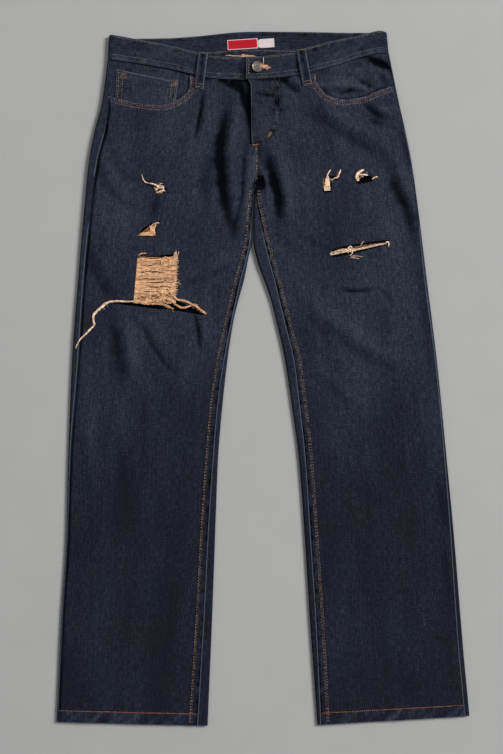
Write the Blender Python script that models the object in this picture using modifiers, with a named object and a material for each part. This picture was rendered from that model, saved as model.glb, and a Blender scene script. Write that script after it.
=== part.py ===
"""Straight five-pocket jeans with torn thighs, laid flat on their back panels.

Tables and sizes are in millimetres and become metres where points are made. +X is the wearer's
left, +Y is towards the waist and +Z is up. The origin is on the ground under the outline's middle.
Rows are laid out on level lines first, and settle() then bends them to the waist seam and hem.
"""

import math
from bisect import bisect_right
from collections import namedtuple

import bmesh
import bpy
import numpy as np

MM = 0.001

# Cloth
CLOTH = 1.2  # one layer of denim
BAND_CLOTH = 2.4  # the waistband is folded double
LOOP_CLOTH = 1.6  # belt loops are folded strips
LABEL_CLOTH = 0.8
GAP = 0.3  # between pieces that meet at a seam or lie on each other
WAIST_GAP = 0.8  # along the curved waist seam

# Levels, before they are bent to the real seams
WAIST = 460.0
HEM = -518.0
CROTCH = 294.0
CENTRE_BACK = -13.0
SEAT_LIFT = 1.5  # the seat is raised by the pockets and loops under it

# Bands of levels or places over which one form passes into the next
WAIST_BEND = 330.0  # the waist seam's curve has died out by here
HEM_BEND = -400.0  # and so has the hem's slant by here
BED_RISE = (130.0, 230.0)
LEGS_JOIN = (CROTCH - 9, CROTCH + 12)
FLY_FOOT = (320.0, 346.0)
UNDERLAP = (-48.0, -28.0)
OVERLAP = (-10.0, 15.0)
YOKE_SPREAD = (20.0, 210.0)
LEAST_BEND = 0.35  # share of a full roll kept where the legs part
UNDER_REACH = 10.0  # how far the leg's flat underside runs in from its inner roll
CENTRE_REACH = 12.0  # the same beside the centre back seam
EDGE_COLUMN = 3.0  # width of a front's first and last columns

# Fly and waistband overlap
FLY_DIP = 1.8
FLY_LIFT = 0.5
BAND_RISE = 0.6
BAND_DIP = 2.4
BAND_LIFT = 0.7
BAND_UNDER_END = 6.0
BAND_OVER_END = -25.0

# Button
BUTTON = (-8.5, 466.5)
BUTTON_RADIUS = 8.6
SHANK_RADIUS = 2.6
EYELET_RADIUS = 3.4
BUTTONHOLE_END = 12.0
BUTTONHOLE_WIDTH = 1.8
EYELET_TURNS = (0.18, 1.64)  # the eyelet's start and sweep, in half turns

Ring = namedtuple("Ring", "radius above")
BUTTON_CAP = (
    Ring(0.0, 2.9),
    Ring(5.3, 2.6),
    Ring(6.7, 3.0),
    Ring(BUTTON_RADIUS, 2.0),
    Ring(BUTTON_RADIUS, 0.9),
    Ring(7.4, 0.0),
)

# Mesh density
WRAP_STEPS = 5
FLAT_STEPS = 6
FRONT_STEPS = 12
BAND_END_STEPS = 16
BAND_TURN_STEPS = 4
BAND_BACK_STEPS = 24
LINE_POINTS = 60
ARC_POINTS = 24
SEAM_POINTS = 8
LEAST_POINTS = 4
SETTLE_ROUNDS = 12
MOUTH_STEPS = 3
FACING_GRID = (8, 4)
COIN_GRID = (5, 3)
WEFT_GRID = (4, 4)
STRIP_ROWS = 6
EYELET_STEPS = 12
BUTTON_STEPS = 24
MERGE = 0.00001
SMOOTH_BELOW = math.radians(40)

# Cutters
CUT_LOW = -5.0
CUT_HIGH = 30.0
CUT_TOP = 530.0
CUT_BEYOND = 20.0

Edge = namedtuple("Edge", "y outline seam")
SIDE = {
    "right": (
        Edge(460, -233.0, -230.5),
        Edge(430, -237.0, -233.0),
        Edge(400, -242.4, -232.5),
        Edge(370, -251.9, -237.0),
        Edge(330, -260.6, -248.0),
        Edge(268, -267.0, -256.8),
        Edge(148, -277.5, -269.1),
        Edge(28, -286.5, -277.5),
        Edge(-122, -292.5, -289.5),
        Edge(-242, -295.5, -293.7),
        Edge(-362, -303.0, -301.2),
        Edge(-518, -309.9, -308.1),
    ),
    "left": (
        Edge(460, 188.5, 187.0),
        Edge(430, 195.5, 194.0),
        Edge(400, 203.5, 202.0),
        Edge(370, 212.5, 211.0),
        Edge(330, 222.0, 220.5),
        Edge(268, 231.0, 229.0),
        Edge(148, 246.0, 241.5),
        Edge(28, 261.0, 257.5),
        Edge(-122, 276.0, 271.8),
        Edge(-242, 287.3, 281.3),
        Edge(-362, 297.0, 289.3),
        Edge(-518, 309.9, 301.9),
    ),
}
INSIDE = {
    "right": (
        Edge(294, -13.0, -14.3),
        Edge(268, -13.8, -15.1),
        Edge(243, -15.0, -17.5),
        Edge(208, -16.8, -20.3),
        Edge(178, -22.5, -26.3),
        Edge(148, -28.5, -34.5),
        Edge(118, -36.8, -41.3),
        Edge(88, -44.0, -47.5),
        Edge(28, -53.3, -59.3),
        Edge(-32, -60.0, -68.0),
        Edge(-122, -67.5, -75.8),
        Edge(-242, -72.0, -83.4),
        Edge(-362, -76.5, -89.4),
        Edge(-518, -83.0, -98.9),
    ),
    "left": (
        Edge(294, -12.2, -10.9),
        Edge(268, -13.0, -9.5),
        Edge(243, -14.2, -4.8),
        Edge(208, -14.6, 2.4),
        Edge(178, -9.0, 9.8),
        Edge(148, 1.5, 17.9),
        Edge(118, 12.0, 25.2),
        Edge(88, 19.5, 32.4),
        Edge(28, 33.0, 47.0),
        Edge(-32, 42.0, 54.6),
        Edge(-122, 54.0, 64.2),
        Edge(-242, 63.0, 72.2),
        Edge(-362, 70.5, 80.1),
        Edge(-518, 81.8, 87.6),
    ),
}

# The front panels' middle edges above the crotch: the left one laps over the right as far as the fly goes.
Middle = namedtuple("Middle", "y right left")
MIDDLE = (
    Middle(460, -12.0, -22.5),
    Middle(450, -12.0, -18.3),
    Middle(358, -12.0, -17.0),
    Middle(346, -12.8, -12.2),
    Middle(306, -12.8, -12.2),
    Middle(294, -14.3, -10.9),
)

Band = namedtuple("Band", "x top seam")
BAND_FRONT = (
    Band(-228, 514.9, 477.8),
    Band(-196, 509.6, 473.6),
    Band(-140, 498.4, 464.0),
    Band(-99, 488.6, 454.6),
    Band(-79, 483.0, 450.2),
    Band(-50, 482.0, 448.4),
    Band(-17, 482.2, 448.6),
    Band(48, 488.2, 454.1),
    Band(69, 496.2, 458.6),
    Band(112, 507.1, 469.9),
    Band(151, 514.9, 482.6),
    Band(179, 520.9, 488.0),
    Band(186, 519.4, 488.1),
)
BAND_BACK = (
    Band(-228, 514.9, 477.8),
    Band(-199, 510.4, 476.0),
    Band(-145, 511.1, 477.0),
    Band(-99, 514.1, 480.0),
    Band(-39, 520.1, 485.5),
    Band(-13, 521.0, 486.0),
    Band(63, 520.5, 484.6),
    Band(148, 519.0, 486.6),
    Band(186, 519.4, 488.1),
)
BAND_TUCK = {"right": 2.6, "left": -3.4}  # how far the band's top leans in at each side
TUCK_START = {"right": -180.0, "left": 140.0}

Cuff = namedtuple("Cuff", "x y")
CUFF = {
    "right": (Cuff(-309.9, -514.9), Cuff(-83.0, -520.9)),
    "left": (Cuff(81.8, -519.4), Cuff(309.9, -506.0)),
}

# Total height of the layers, from the ground to the front's face
Height = namedtuple("Height", "y top")
PILE = (Height(460, 9.0), Height(300, 8.5), Height(100, 7.0), Height(-150, 6.0), Height(-518, 6.0))

YOKE_SIDE = 424
YOKE_MIDDLE = 392

Fold = namedtuple("Fold", "x0 y0 x1 y1 width height")
FOLDS = (
    Fold(-46, 430, -62, 358, 12, -1.6),
    Fold(-62, 358, -74, 225, 13, -2.2),
    Fold(-45, 350, -42, 215, 12, 1.3),
    Fold(-92, 425, -101, 358, 11, -1.3),
    Fold(-246, 343, -236, 246, 10, -1.3),
    Fold(-216, 88, -208, -62, 14, -1.6),
    Fold(-177, 105, -132, 43, 11, -1.4),
    Fold(-94, 92, -94, 50, 10, -1.2),
    Fold(0, 336, 10, 284, 11, -2.3),
    Fold(10, 284, 27, 238, 12, -2.0),
    Fold(163, 328, 195, 260, 14, -1.8),
    Fold(195, 260, 220, 216, 12, -1.3),
    Fold(55, 95, 123, 43, 12, -1.7),
    Fold(123, 43, 163, 10, 12, -1.2),
    Fold(70, -2, 130, -62, 12, -1.2),
    Fold(56, 432, 86, 385, 11, -1.2),
    Fold(150, 430, 185, 350, 12, -1.2),
)
FOLD_FADE = 14.0  # folds die out this close to an edge

Spot = namedtuple("Spot", "x y")
POCKET_MOUTH = {
    "right": (
        Spot(-108, 452.6),
        Spot(-111.5, 433),
        Spot(-129, 417.5),
        Spot(-153, 410),
        Spot(-190, 414),
        Spot(-236, 424),
    ),
    "left": (
        Spot(77.4, 455.6),
        Spot(82.5, 440),
        Spot(100, 423),
        Spot(121, 418.4),
        Spot(146, 421),
        Spot(172, 431.3),
        Spot(202, 442),
    ),
}
POCKET_REACH = {"right": -98.0, "left": 68.0}  # the facings' inner ends
FACING_FOOT = {"right": 386.0, "left": 392.0}
FACING_DEPTH = {"right": 3.0, "left": 1.9}  # the right one leaves room for the coin pocket
COIN_POCKET = (Spot(-219, 463.5), Spot(-127.5, 444.5), Spot(-133, 404), Spot(-222, 408))
COIN_DEPTH = 1.5
WEFT_CLOTH = 1.0
WEFT_DEPTH = 0.2

Tear = namedtuple("Tear", "side outline")
TEARS = {
    "big_tear": Tear(
        "right",
        (
            Spot(-189, 182.6),
            Spot(-130.5, 184),
            Spot(-132, 118),
            Spot(-110, 109),
            Spot(-90, 97),
            Spot(-117, 101),
            Spot(-192, 109),
            Spot(-229, 113),
            Spot(-190, 115.5),
        ),
    ),
    "knee_slit": Tear(
        "left",
        (
            Spot(102, 188.6),
            Spot(120, 197),
            Spot(145, 201),
            Spot(187.5, 203.6),
            Spot(165, 193),
            Spot(130, 186.5),
        ),
    ),
    "small_right_high": Tear("right", (Spot(-170, 291), Spot(-162, 292), Spot(-156, 287), Spot(-164, 288))),
    "small_right_low": Tear("right", (Spot(-182, 228), Spot(-166, 230), Spot(-168, 214), Spot(-178, 217))),
    "small_left_bar": Tear("left", (Spot(93, 296), Spot(103, 298.5), Spot(114, 297), Spot(103, 294.5))),
    "small_left_loop": Tear("left", (Spot(151, 296), Spot(157, 298.5), Spot(165, 296), Spot(158, 293))),
}
WEFT_PANEL = (Spot(-188.4, 182), Spot(-131.4, 183.2), Spot(-132.6, 119), Spot(-188.4, 117.5))

Strand = namedtuple("Strand", "side x0 y0 x1 y1 width thickness")
STRANDS = {
    "rip_bundle": Strand("right", -130, 121.5, -92, 99, 5.0, 1.4),
    "knee_bundle": Strand("left", 98, 189.5, 190, 203.5, 4.4, 1.4),
    "tuft_high_right": Strand("right", -181, 303, -154, 285, 4.0, 1.3),
    "tuft_low_right": Strand("right", -183, 223, -158, 227, 12.0, 1.3),
    "tuft_bar_left": Strand("left", 92, 303, 99, 281, 6.0, 1.3),
    "tuft_loop_left": Strand("left", 141, 303, 163, 295, 8.0, 1.3),
}

STRAND_GAP = 0.6
YARN_RADIUS = 0.8
YARN_STEPS = 4
YARN_ROUTE = (
    Spot(-190, 116.6),
    Spot(-229, 115.6),
    Spot(-236, 113),
    Spot(-249, 100),
    Spot(-255, 91),
    Spot(-250.5, 80.5),
    Spot(-267, 65.5),
    Spot(-277.5, 55),
    Spot(-280.5, 48),
)

Loop = namedtuple("Loop", "side x0 y0 x1 y1")
LOOP_WIDTH = 14.0
FRONT_LOOPS = {
    "belt_loop_front_right": Loop("right", -89.2, 488.5, -96.0, 434.5),
    "belt_loop_front_left": Loop("left", 56.5, 493.5, 66.4, 438.5),
}
BACK_LOOPS = {"belt_loop_back_right": -140.0, "belt_loop_back_middle": -13.0, "belt_loop_back_left": 114.0}
BACK_LOOP_LENGTH = 50.0

BACK_POCKETS = {"back_pocket_right": -108.0, "back_pocket_left": 82.0}
BACK_POCKET = (Spot(-76, 402), Spot(76, 402), Spot(70, 262), Spot(0, 238), Spot(-70, 262))

Tag = namedtuple("Tag", "x y width height")
LABEL_TURN = math.radians(3.6)
TAGS = {"waist_label": Tag(-30.6, 502.4, 45.5, 15.0), "size_tab": Tag(5.0, 504.2, 24.0, 13.4)}

Finish = namedtuple("Finish", "colour roughness metallic")
DENIM = Finish((0.022, 0.027, 0.045), 0.9, 0.0)
YARN = Finish((0.48, 0.27, 0.15), 0.95, 0.0)
METAL = Finish((0.16, 0.14, 0.13), 0.45, 0.9)
RED = Finish((0.38, 0.015, 0.03), 0.8, 0.0)
WHITE = Finish((0.75, 0.73, 0.7), 0.85, 0.0)

# Level lines that carry a row of points: those of the yoke, then those of the rest of the back
YOKE_ROWS = (460, 442, 424)
SEAT_ROWS = (424, 400, 380, 358, 346, 328, 306, 299, 292, 285, 268, 243, 225, 208)
LEG_ROWS = (188, 168, 148, 124, 100, 78, 54, 28, 0, -32, -62, -92, -152, -222, -292, -362, -440, -518)
BACK_ROWS = SEAT_ROWS + LEG_ROWS
FRONT_ROWS = YOKE_ROWS[:-1] + BACK_ROWS

INWARD = {"right": 1, "left": -1}
FRONT, BACK = "front", "back"


def ease(low, high, value):
    share = min(max((value - low) / (high - low), 0.0), 1.0)
    return share * share * (3 - 2 * share)


def smooth_line(knots):
    """A curve through (key, value) knots that never overshoots them, flat beyond its ends."""
    keys, values = zip(*sorted(knots))
    steps = [(values[i + 1] - values[i]) / (keys[i + 1] - keys[i]) for i in range(len(keys) - 1)]
    bends = [2 * a * b / (a + b) if a * b > 0 else 0.0 for a, b in zip(steps, steps[1:])]
    slopes = [steps[0]] + bends + [steps[-1]]

    def value(key):
        key = min(max(key, keys[0]), keys[-1])
        i = min(max(bisect_right(keys, key) - 1, 0), len(steps) - 1)
        span = keys[i + 1] - keys[i]
        t = (key - keys[i]) / span
        pull = slopes[i] * (1 - t) * (1 - t) * t - slopes[i + 1] * t * t * (1 - t)
        return values[i] + (values[i + 1] - values[i]) * t * t * (3 - 2 * t) + pull * span

    return value


def columns_of(table, key, column):
    return smooth_line([(getattr(row, key), getattr(row, column)) for row in table])


outline = {side: columns_of(SIDE[side], "y", "outline") for side in SIDE}
side_seam = {side: columns_of(SIDE[side], "y", "seam") for side in SIDE}
inner_outline = {side: columns_of(INSIDE[side], "y", "outline") for side in INSIDE}
inseam = {side: columns_of(INSIDE[side], "y", "seam") for side in INSIDE}
middle_edge = {side: columns_of(MIDDLE, "y", side) for side in SIDE}
band_seam = {FRONT: columns_of(BAND_FRONT, "x", "seam"), BACK: columns_of(BAND_BACK, "x", "seam")}
band_top = {FRONT: columns_of(BAND_FRONT, "x", "top"), BACK: columns_of(BAND_BACK, "x", "top")}
cuff = {side: columns_of(CUFF[side], "x", "y") for side in CUFF}
pile = columns_of(PILE, "y", "top")


def bed(y):
    """The underside's height: the pockets lift the seat, and the legs lie on the ground."""
    return SEAT_LIFT * ease(*BED_RISE, y)


def settle(side, face, x, y):
    """The real y of a level line's point, bent to the waist seam and to the slanting hem."""
    waist = (band_seam[face](x) - WAIST) * ease(WAIST_BEND, WAIST, y)
    hem = (cuff[side](x) - HEM) * ease(HEM_BEND, HEM, y)
    return y + waist + hem


def unsettle(side, face, x, y):
    """The level line whose point at x settles at y."""
    level = y
    for _ in range(SETTLE_ROUNDS):
        level += y - settle(side, face, x, level)
    return level


def crease(x, y):
    total = 0.0
    for fold in FOLDS:
        along = (fold.x1 - fold.x0, fold.y1 - fold.y0)
        share = ((x - fold.x0) * along[0] + (y - fold.y0) * along[1]) / (along[0] ** 2 + along[1] ** 2)
        share = min(max(share, 0.0), 1.0)
        off = math.hypot(x - fold.x0 - along[0] * share, y - fold.y0 - along[1] * share)
        total += fold.height * math.exp(-((off / fold.width) ** 2))
    return total


def roll(distance, half):
    """How full the rolled edge is, 0 at the outline and 1 where the cloth lies level."""
    return math.sqrt(max(1 - (1 - min(distance / half, 1.0)) ** 2, 0.0))


def fly_step(side, x, dip, lift):
    if side == "right":
        return -dip * ease(*UNDERLAP, x)
    return lift * (1 - ease(*OVERLAP, x))


def face_height(side, x, y):
    """The height of the front's outer face on a level line."""
    half = (pile(y) - bed(y)) / 2
    outer = abs(x - outline[side](y))
    full = roll(outer, half)
    near = outer
    if y < LEGS_JOIN[1]:
        inner = abs(x - inner_outline[side](y))
        below = 1 - ease(*LEGS_JOIN, y)
        full = min(full, 1 - (1 - roll(inner, half)) * below)
        near = min(near, inner)
    soft = crease(x, y) * ease(0, FOLD_FADE, near)
    lapped = fly_step(side, x, FLY_DIP, FLY_LIFT) * ease(*FLY_FOOT, y)
    return bed(y) + half * (1 + full) + soft + lapped


def face_point(side, x, y):
    """A point of the front's outer face and the normal across it there."""
    step = 0.2
    slope = (face_height(side, x + step, y) - face_height(side, x - step, y)) / (2 * step)
    size = math.hypot(slope, 1)
    place = np.array((x, settle(side, FRONT, x, y), face_height(side, x, y)))
    return place, np.array((-slope / size, 0.0, 1 / size))


def even_points(line, steps):
    """Evenly spaced points of a dense (x, z) line, with its direction at each."""
    line = np.array(line)
    lengths = np.concatenate(((0,), np.cumsum(np.hypot(*np.diff(line, axis=0).T))))

    def points_at(stops):
        return np.column_stack([np.interp(stops, lengths, line[:, k]) for k in (0, 1)])

    stops = np.linspace(0, lengths[-1], steps + 1)
    step = lengths[-1] / 100
    ways = points_at(np.minimum(stops + step, lengths[-1])) - points_at(np.maximum(stops - step, 0))
    return points_at(stops), ways / np.hypot(*ways.T)[:, None]


def arc(start, end):
    return [start + (end - start) * i / ARC_POINTS for i in range(ARC_POINTS + 1)]


def quarter_turn(edge, half, low, way):
    """The outline's lower quarter, from the widest place down to the underside, as (x, z) points."""
    angles = arc(0.0, math.pi / 2)
    return [(edge + way * half * (1 - math.cos(a)), low + half * (1 - math.sin(a))) for a in angles]


def top_run(side, y, edge, seam, half, way):
    """The front face from a seam out to the outline edge, as (x, z) points."""
    reach = abs(seam - edge)
    first = math.acos(1 - min(reach / half, 1.0))
    level = edge + way * half
    flat = [seam + (level - seam) * i / SEAM_POINTS for i in range(SEAM_POINTS)] if reach > half else []
    xs = flat + [edge + way * half * (1 - math.cos(a)) for a in arc(first, 0.0)]
    return [(x, face_height(side, x, y)) for x in xs]


def back_section(side, y):
    """One section of the back cloth, from the side seam, under the leg, to the inseam or centre back."""
    way = INWARD[side]
    low = bed(y)
    half = (pile(y) - low) / 2
    edge = outline[side](y)
    seam = side_seam[side](y) - way * GAP / 2
    outer = top_run(side, y, edge, seam, half, way) + quarter_turn(edge, half, low, way)
    wrapped = 1 - ease(*LEGS_JOIN, y)
    if wrapped > 0:
        rim = inner_outline[side](y)
        bend = half * max(wrapped, LEAST_BEND)
        angles = arc(0.0, math.pi / 2)
        inner = [(rim - way * (bend + UNDER_REACH), low)]
        inner += [(rim - way * bend * (1 - math.sin(a)), low + half * (1 - math.cos(a))) for a in angles]
        last = inseam[side](y) + way * GAP / 2
        inner += list(reversed(top_run(side, y, rim, last, half, -way)))[1:]
        keep = max(int(len(inner) * wrapped), LEAST_POINTS)
        inner = inner[:keep]
    else:
        rim = CENTRE_BACK - way * GAP / 2
        inner = [(rim - way * CENTRE_REACH, low), (rim, low)]
    under = [outer[-1], inner[0]]
    spots, ways = [], []
    for line, steps in ((outer, WRAP_STEPS), (under, FLAT_STEPS), (inner, WRAP_STEPS)):
        points, directions = even_points(line, steps)
        keep = slice(None) if not spots else slice(1, None)
        spots += list(points[keep])
        ways += list(directions[keep])
    return [(x, z, way * dz, -way * dx) for (x, z), (dx, dz) in zip(spots, ways)]


def yoke_level(x):
    return YOKE_SIDE + (YOKE_MIDDLE - YOKE_SIDE) * (1 - ease(*YOKE_SPREAD, abs(x - CENTRE_BACK)))


def collection(name):
    made = bpy.data.collections.new(name)
    bpy.context.scene.collection.children.link(made)
    return made


def add_object(name, mesh, finish):
    piece = bpy.data.objects.new(name, mesh)
    parts.objects.link(piece)
    material = bpy.data.materials.new(name)
    material.use_nodes = True
    shader = material.node_tree.nodes["Principled BSDF"]
    shader.inputs["Base Color"].default_value = (*finish.colour, 1.0)
    shader.inputs["Roughness"].default_value = finish.roughness
    shader.inputs["Metallic"].default_value = finish.metallic
    mesh.materials.append(material)
    return piece


def shell(name, finish, columns, rows, skin, thickness, depth=0.0):
    """A wall of cloth under skin(column, row), a point and its outward normal, depth below it."""
    bm = bmesh.new()
    bmesh.ops.create_grid(bm, x_segments=columns, y_segments=rows, size=0.5)
    outer = set(bm.verts)
    bmesh.ops.extrude_face_region(bm, geom=bm.faces[:], use_keep_orig=True)
    for vert in bm.verts:
        column = round((vert.co.x + 0.5) * columns)
        row = round((vert.co.y + 0.5) * rows)
        place, normal = skin(column, row)
        below = depth + (0 if vert in outer else thickness)
        vert.co = (place - normal * below) * MM
    bmesh.ops.recalc_face_normals(bm, faces=bm.faces[:])
    mesh = bpy.data.meshes.new(name)
    bm.to_mesh(mesh)
    bm.free()
    mesh.shade_smooth()
    mesh.set_sharp_from_angle(angle=SMOOTH_BELOW)
    return add_object(name, mesh, finish)


def prism(name, outline_points, low, high):
    """A closed upright prism on an outline."""
    bm = bmesh.new()
    ring = [bm.verts.new((spot.x * MM, spot.y * MM, low * MM)) for spot in outline_points]
    base = bm.faces.new(ring)
    top = bmesh.ops.extrude_face_region(bm, geom=[base], use_keep_orig=True)
    lifted = [item for item in top["geom"] if isinstance(item, bmesh.types.BMVert)]
    bmesh.ops.translate(bm, verts=lifted, vec=(0, 0, (high - low) * MM))
    bmesh.ops.recalc_face_normals(bm, faces=bm.faces[:])
    mesh = bpy.data.meshes.new(name)
    bm.to_mesh(mesh)
    bm.free()
    return mesh


def cut(piece, name, outline_points):
    """Take an outline out of a piece, all the way through."""
    cutter = bpy.data.objects.new(name, prism(name, outline_points, CUT_LOW, CUT_HIGH))
    cutters.objects.link(cutter)
    cutter.hide_render = True
    cutter.display_type = "WIRE"
    boolean = piece.modifiers.new(name, "BOOLEAN")
    boolean.operation = "DIFFERENCE"
    boolean.object = cutter


def curve_through(spots, steps):
    """Spots along a smooth curve through the given ones, which are spread evenly along it."""
    across = smooth_line(list(enumerate(spot.x for spot in spots)))
    up = smooth_line(list(enumerate(spot.y for spot in spots)))
    count = (len(spots) - 1) * steps
    return [Spot(across(i / steps), up(i / steps)) for i in range(count + 1)]


def quad_patch(corners, columns, rows, side):
    """A skin over four corners of the front, given as top outer, top inner, low inner, low outer."""

    def skin(column, row):
        u, v = column / columns, row / rows
        high = (corners[0].x * (1 - u) + corners[1].x * u, corners[0].y * (1 - u) + corners[1].y * u)
        low = (corners[3].x * (1 - u) + corners[2].x * u, corners[3].y * (1 - u) + corners[2].y * u)
        x, y = high[0] * (1 - v) + low[0] * v, high[1] * (1 - v) + low[1] * v
        return face_point(side, x, unsettle(side, FRONT, x, y))

    return skin


def strip_corners(x0, y0, x1, y1, width):
    """The corners of a straight strip of a width between two points."""
    length = math.hypot(x1 - x0, y1 - y0)
    dx, dy = (y1 - y0) / length * width / 2, (x0 - x1) / length * width / 2
    return Spot(x0 + dx, y0 + dy), Spot(x0 - dx, y0 - dy), Spot(x1 - dx, y1 - dy), Spot(x1 + dx, y1 + dy)


def front_panel(side):
    """One front, from the side seam to the fly, rise and inseam, cut away at the pocket and torn."""
    way = INWARD[side]

    def skin(column, row):
        y = FRONT_ROWS[row]
        first = side_seam[side](y) + way * GAP / 2
        last = middle_edge[side](y) if y >= CROTCH else inseam[side](y) - way * GAP / 2
        width = last - first
        near = way * EDGE_COLUMN
        inner_columns = FRONT_STEPS - 2
        if column == 0:
            x = first
        elif column == FRONT_STEPS:
            x = last
        else:
            x = first + near + (width - 2 * near) * (column - 1) / inner_columns
        place, normal = face_point(side, x, y)
        if row == 0:
            place[1] -= WAIST_GAP / 2
        return place, normal

    piece = shell(f"front_{side}", DENIM, FRONT_STEPS, len(FRONT_ROWS) - 1, skin, CLOTH)
    mouth = curve_through(POCKET_MOUTH[side], MOUTH_STEPS)
    beyond = outline[side](WAIST) - way * CUT_BEYOND
    mouth += [Spot(beyond, mouth[-1].y), Spot(beyond, CUT_TOP), Spot(mouth[0].x, CUT_TOP)]
    cut(piece, f"pocket_mouth_{side}", mouth)
    for name, tear in TEARS.items():
        if tear.side == side:
            cut(piece, name, tear.outline)


def back_panel(side):
    """One back, curled round both edges of the leg to the seams on the front."""
    sections = [back_section(side, y) for y in BACK_ROWS]

    def skin(column, row):
        x, z, nx, nz = sections[row][column]
        level = BACK_ROWS[row]
        y = level + (yoke_level(x) - YOKE_SIDE) * ease(WAIST_BEND, YOKE_SIDE, level)
        face = FRONT if column < WRAP_STEPS / 2 else BACK
        y = settle(side, face, x, y)
        if row == 0:
            y -= GAP / 2
        return np.array((x, y, z)), np.array((nx, 0.0, nz))

    shell(f"back_{side}", DENIM, 2 * WRAP_STEPS + FLAT_STEPS, len(BACK_ROWS) - 1, skin, CLOTH)


def yoke(side):
    rows = len(YOKE_ROWS) - 1
    sections = [back_section(side, level) for level in YOKE_ROWS]

    def skin(column, row):
        x, z, nx, nz = sections[row][column]
        face = FRONT if column < WRAP_STEPS / 2 else BACK
        share = (WAIST - YOKE_ROWS[row]) / (WAIST - YOKE_SIDE)
        level = WAIST + (yoke_level(x) - WAIST) * share
        y = settle(side, face, x, level)
        if row == 0:
            y -= WAIST_GAP / 2
        elif row == rows:
            y += GAP / 2
        return np.array((x, y, z)), np.array((nx, 0.0, nz))

    shell(f"yoke_{side}", DENIM, 2 * WRAP_STEPS + FLAT_STEPS, rows, skin, CLOTH)


def band_face(side, x):
    """The height of the waistband's outer face on the front."""
    half = (pile(WAIST) + BAND_RISE - SEAT_LIFT) / 2
    full = roll(abs(x - outline[side](WAIST)), half)
    return SEAT_LIFT + half * (1 + full) + fly_step(side, x, BAND_DIP, BAND_LIFT)


def waistband():
    """One strip from its button end, round the right side and the back, to its buttonhole end."""
    half = (pile(WAIST) + BAND_RISE - SEAT_LIFT) / 2
    right, left = outline["right"](WAIST), outline["left"](WAIST)

    def front_line(side, start, edge):
        way = INWARD[side]
        level = edge + way * half
        xs = [start + (level - start) * i / LINE_POINTS for i in range(LINE_POINTS)]
        xs += [edge + way * half * (1 - math.cos(a)) for a in arc(math.pi / 2, 0.0)]
        return [(x, band_face(side, x)) for x in xs]

    start = front_line("right", BAND_UNDER_END, right)
    turn = quarter_turn(right, half, SEAT_LIFT, INWARD["right"])
    far_turn = list(reversed(quarter_turn(left, half, SEAT_LIFT, INWARD["left"])))
    end = list(reversed(front_line("left", BAND_OVER_END, left)))
    stretches = (
        (start, BAND_END_STEPS),
        (turn, BAND_TURN_STEPS),
        ((turn[-1], far_turn[0]), BAND_BACK_STEPS),
        (far_turn, BAND_TURN_STEPS),
        (end, BAND_END_STEPS),
    )
    spots, ways, faces = [], [], []
    for index, (line, steps) in enumerate(stretches):
        points, directions = even_points(line, steps)
        keep = slice(None) if index == 0 else slice(1, None)
        spots += list(points[keep])
        ways += list(directions[keep])
        faces += [FRONT if line in (start, end) else BACK] * len(points[keep])

    def skin(column, row):
        (x, z), (dx, dz), face = spots[column], ways[column], faces[column]
        low = band_seam[face](x) + WAIST_GAP / 2
        y = low + (band_top[face](x) - low) * row
        lean = BAND_TUCK["right"] * ease(TUCK_START["right"], right, x)
        lean += BAND_TUCK["left"] * ease(TUCK_START["left"], left, x)
        return np.array((x + lean * row, y, z)), np.array((dz, 0.0, -dx))

    piece = shell("waistband", DENIM, len(spots) - 1, 1, skin, BAND_CLOTH)
    first, sweep = EYELET_TURNS
    angles = [math.pi * (first + sweep * i / EYELET_STEPS) for i in range(EYELET_STEPS + 1)]
    hole = [
        Spot(BUTTON[0] + EYELET_RADIUS * math.cos(a), BUTTON[1] + EYELET_RADIUS * math.sin(a))
        for a in angles
    ]
    hole += [
        Spot(BUTTONHOLE_END, BUTTON[1] - BUTTONHOLE_WIDTH / 2),
        Spot(BUTTONHOLE_END, BUTTON[1] + BUTTONHOLE_WIDTH / 2),
    ]
    return piece, hole


def pocket_facing(side):
    columns, rows = FACING_GRID
    way = INWARD[side]

    def skin(column, row):
        y = WAIST + (FACING_FOOT[side] - WAIST) * row / rows
        first = side_seam[side](y) + way * GAP
        x = first + (POCKET_REACH[side] - first) * column / columns
        place, normal = face_point(side, x, y)
        if row == 0:
            place[1] -= WAIST_GAP / 2
        return place, normal

    shell(f"pocket_facing_{side}", DENIM, columns, rows, skin, CLOTH, FACING_DEPTH[side])


def front_loop(name, loop):
    rows = STRIP_ROWS
    corners = strip_corners(loop.x0, loop.y0, loop.x1, loop.y1, LOOP_WIDTH)
    flat = quad_patch(corners, 2, rows, loop.side)

    def skin(column, row):
        place, normal = flat(column, row)
        over_band = BAND_RISE * ease(-6, 0, place[1] - band_seam[FRONT](place[0]))
        place[2] += over_band + GAP + LOOP_CLOTH
        return place, normal

    shell(name, DENIM, 2, rows, skin, LOOP_CLOTH)


def flat_box(name, finish, x, y, width, height, low, thickness, turn=0.0):
    bpy.ops.mesh.primitive_cube_add(size=1.0)
    made = bpy.context.active_object
    mesh = made.data
    bpy.data.objects.remove(made)
    for vert in mesh.vertices:
        vert.co = (vert.co.x * width * MM, vert.co.y * height * MM, vert.co.z * thickness * MM)
    piece = add_object(name, mesh, finish)
    piece.location = (x * MM, y * MM, (low + thickness / 2) * MM)
    piece.rotation_euler = (0, 0, turn)
    return piece


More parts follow.
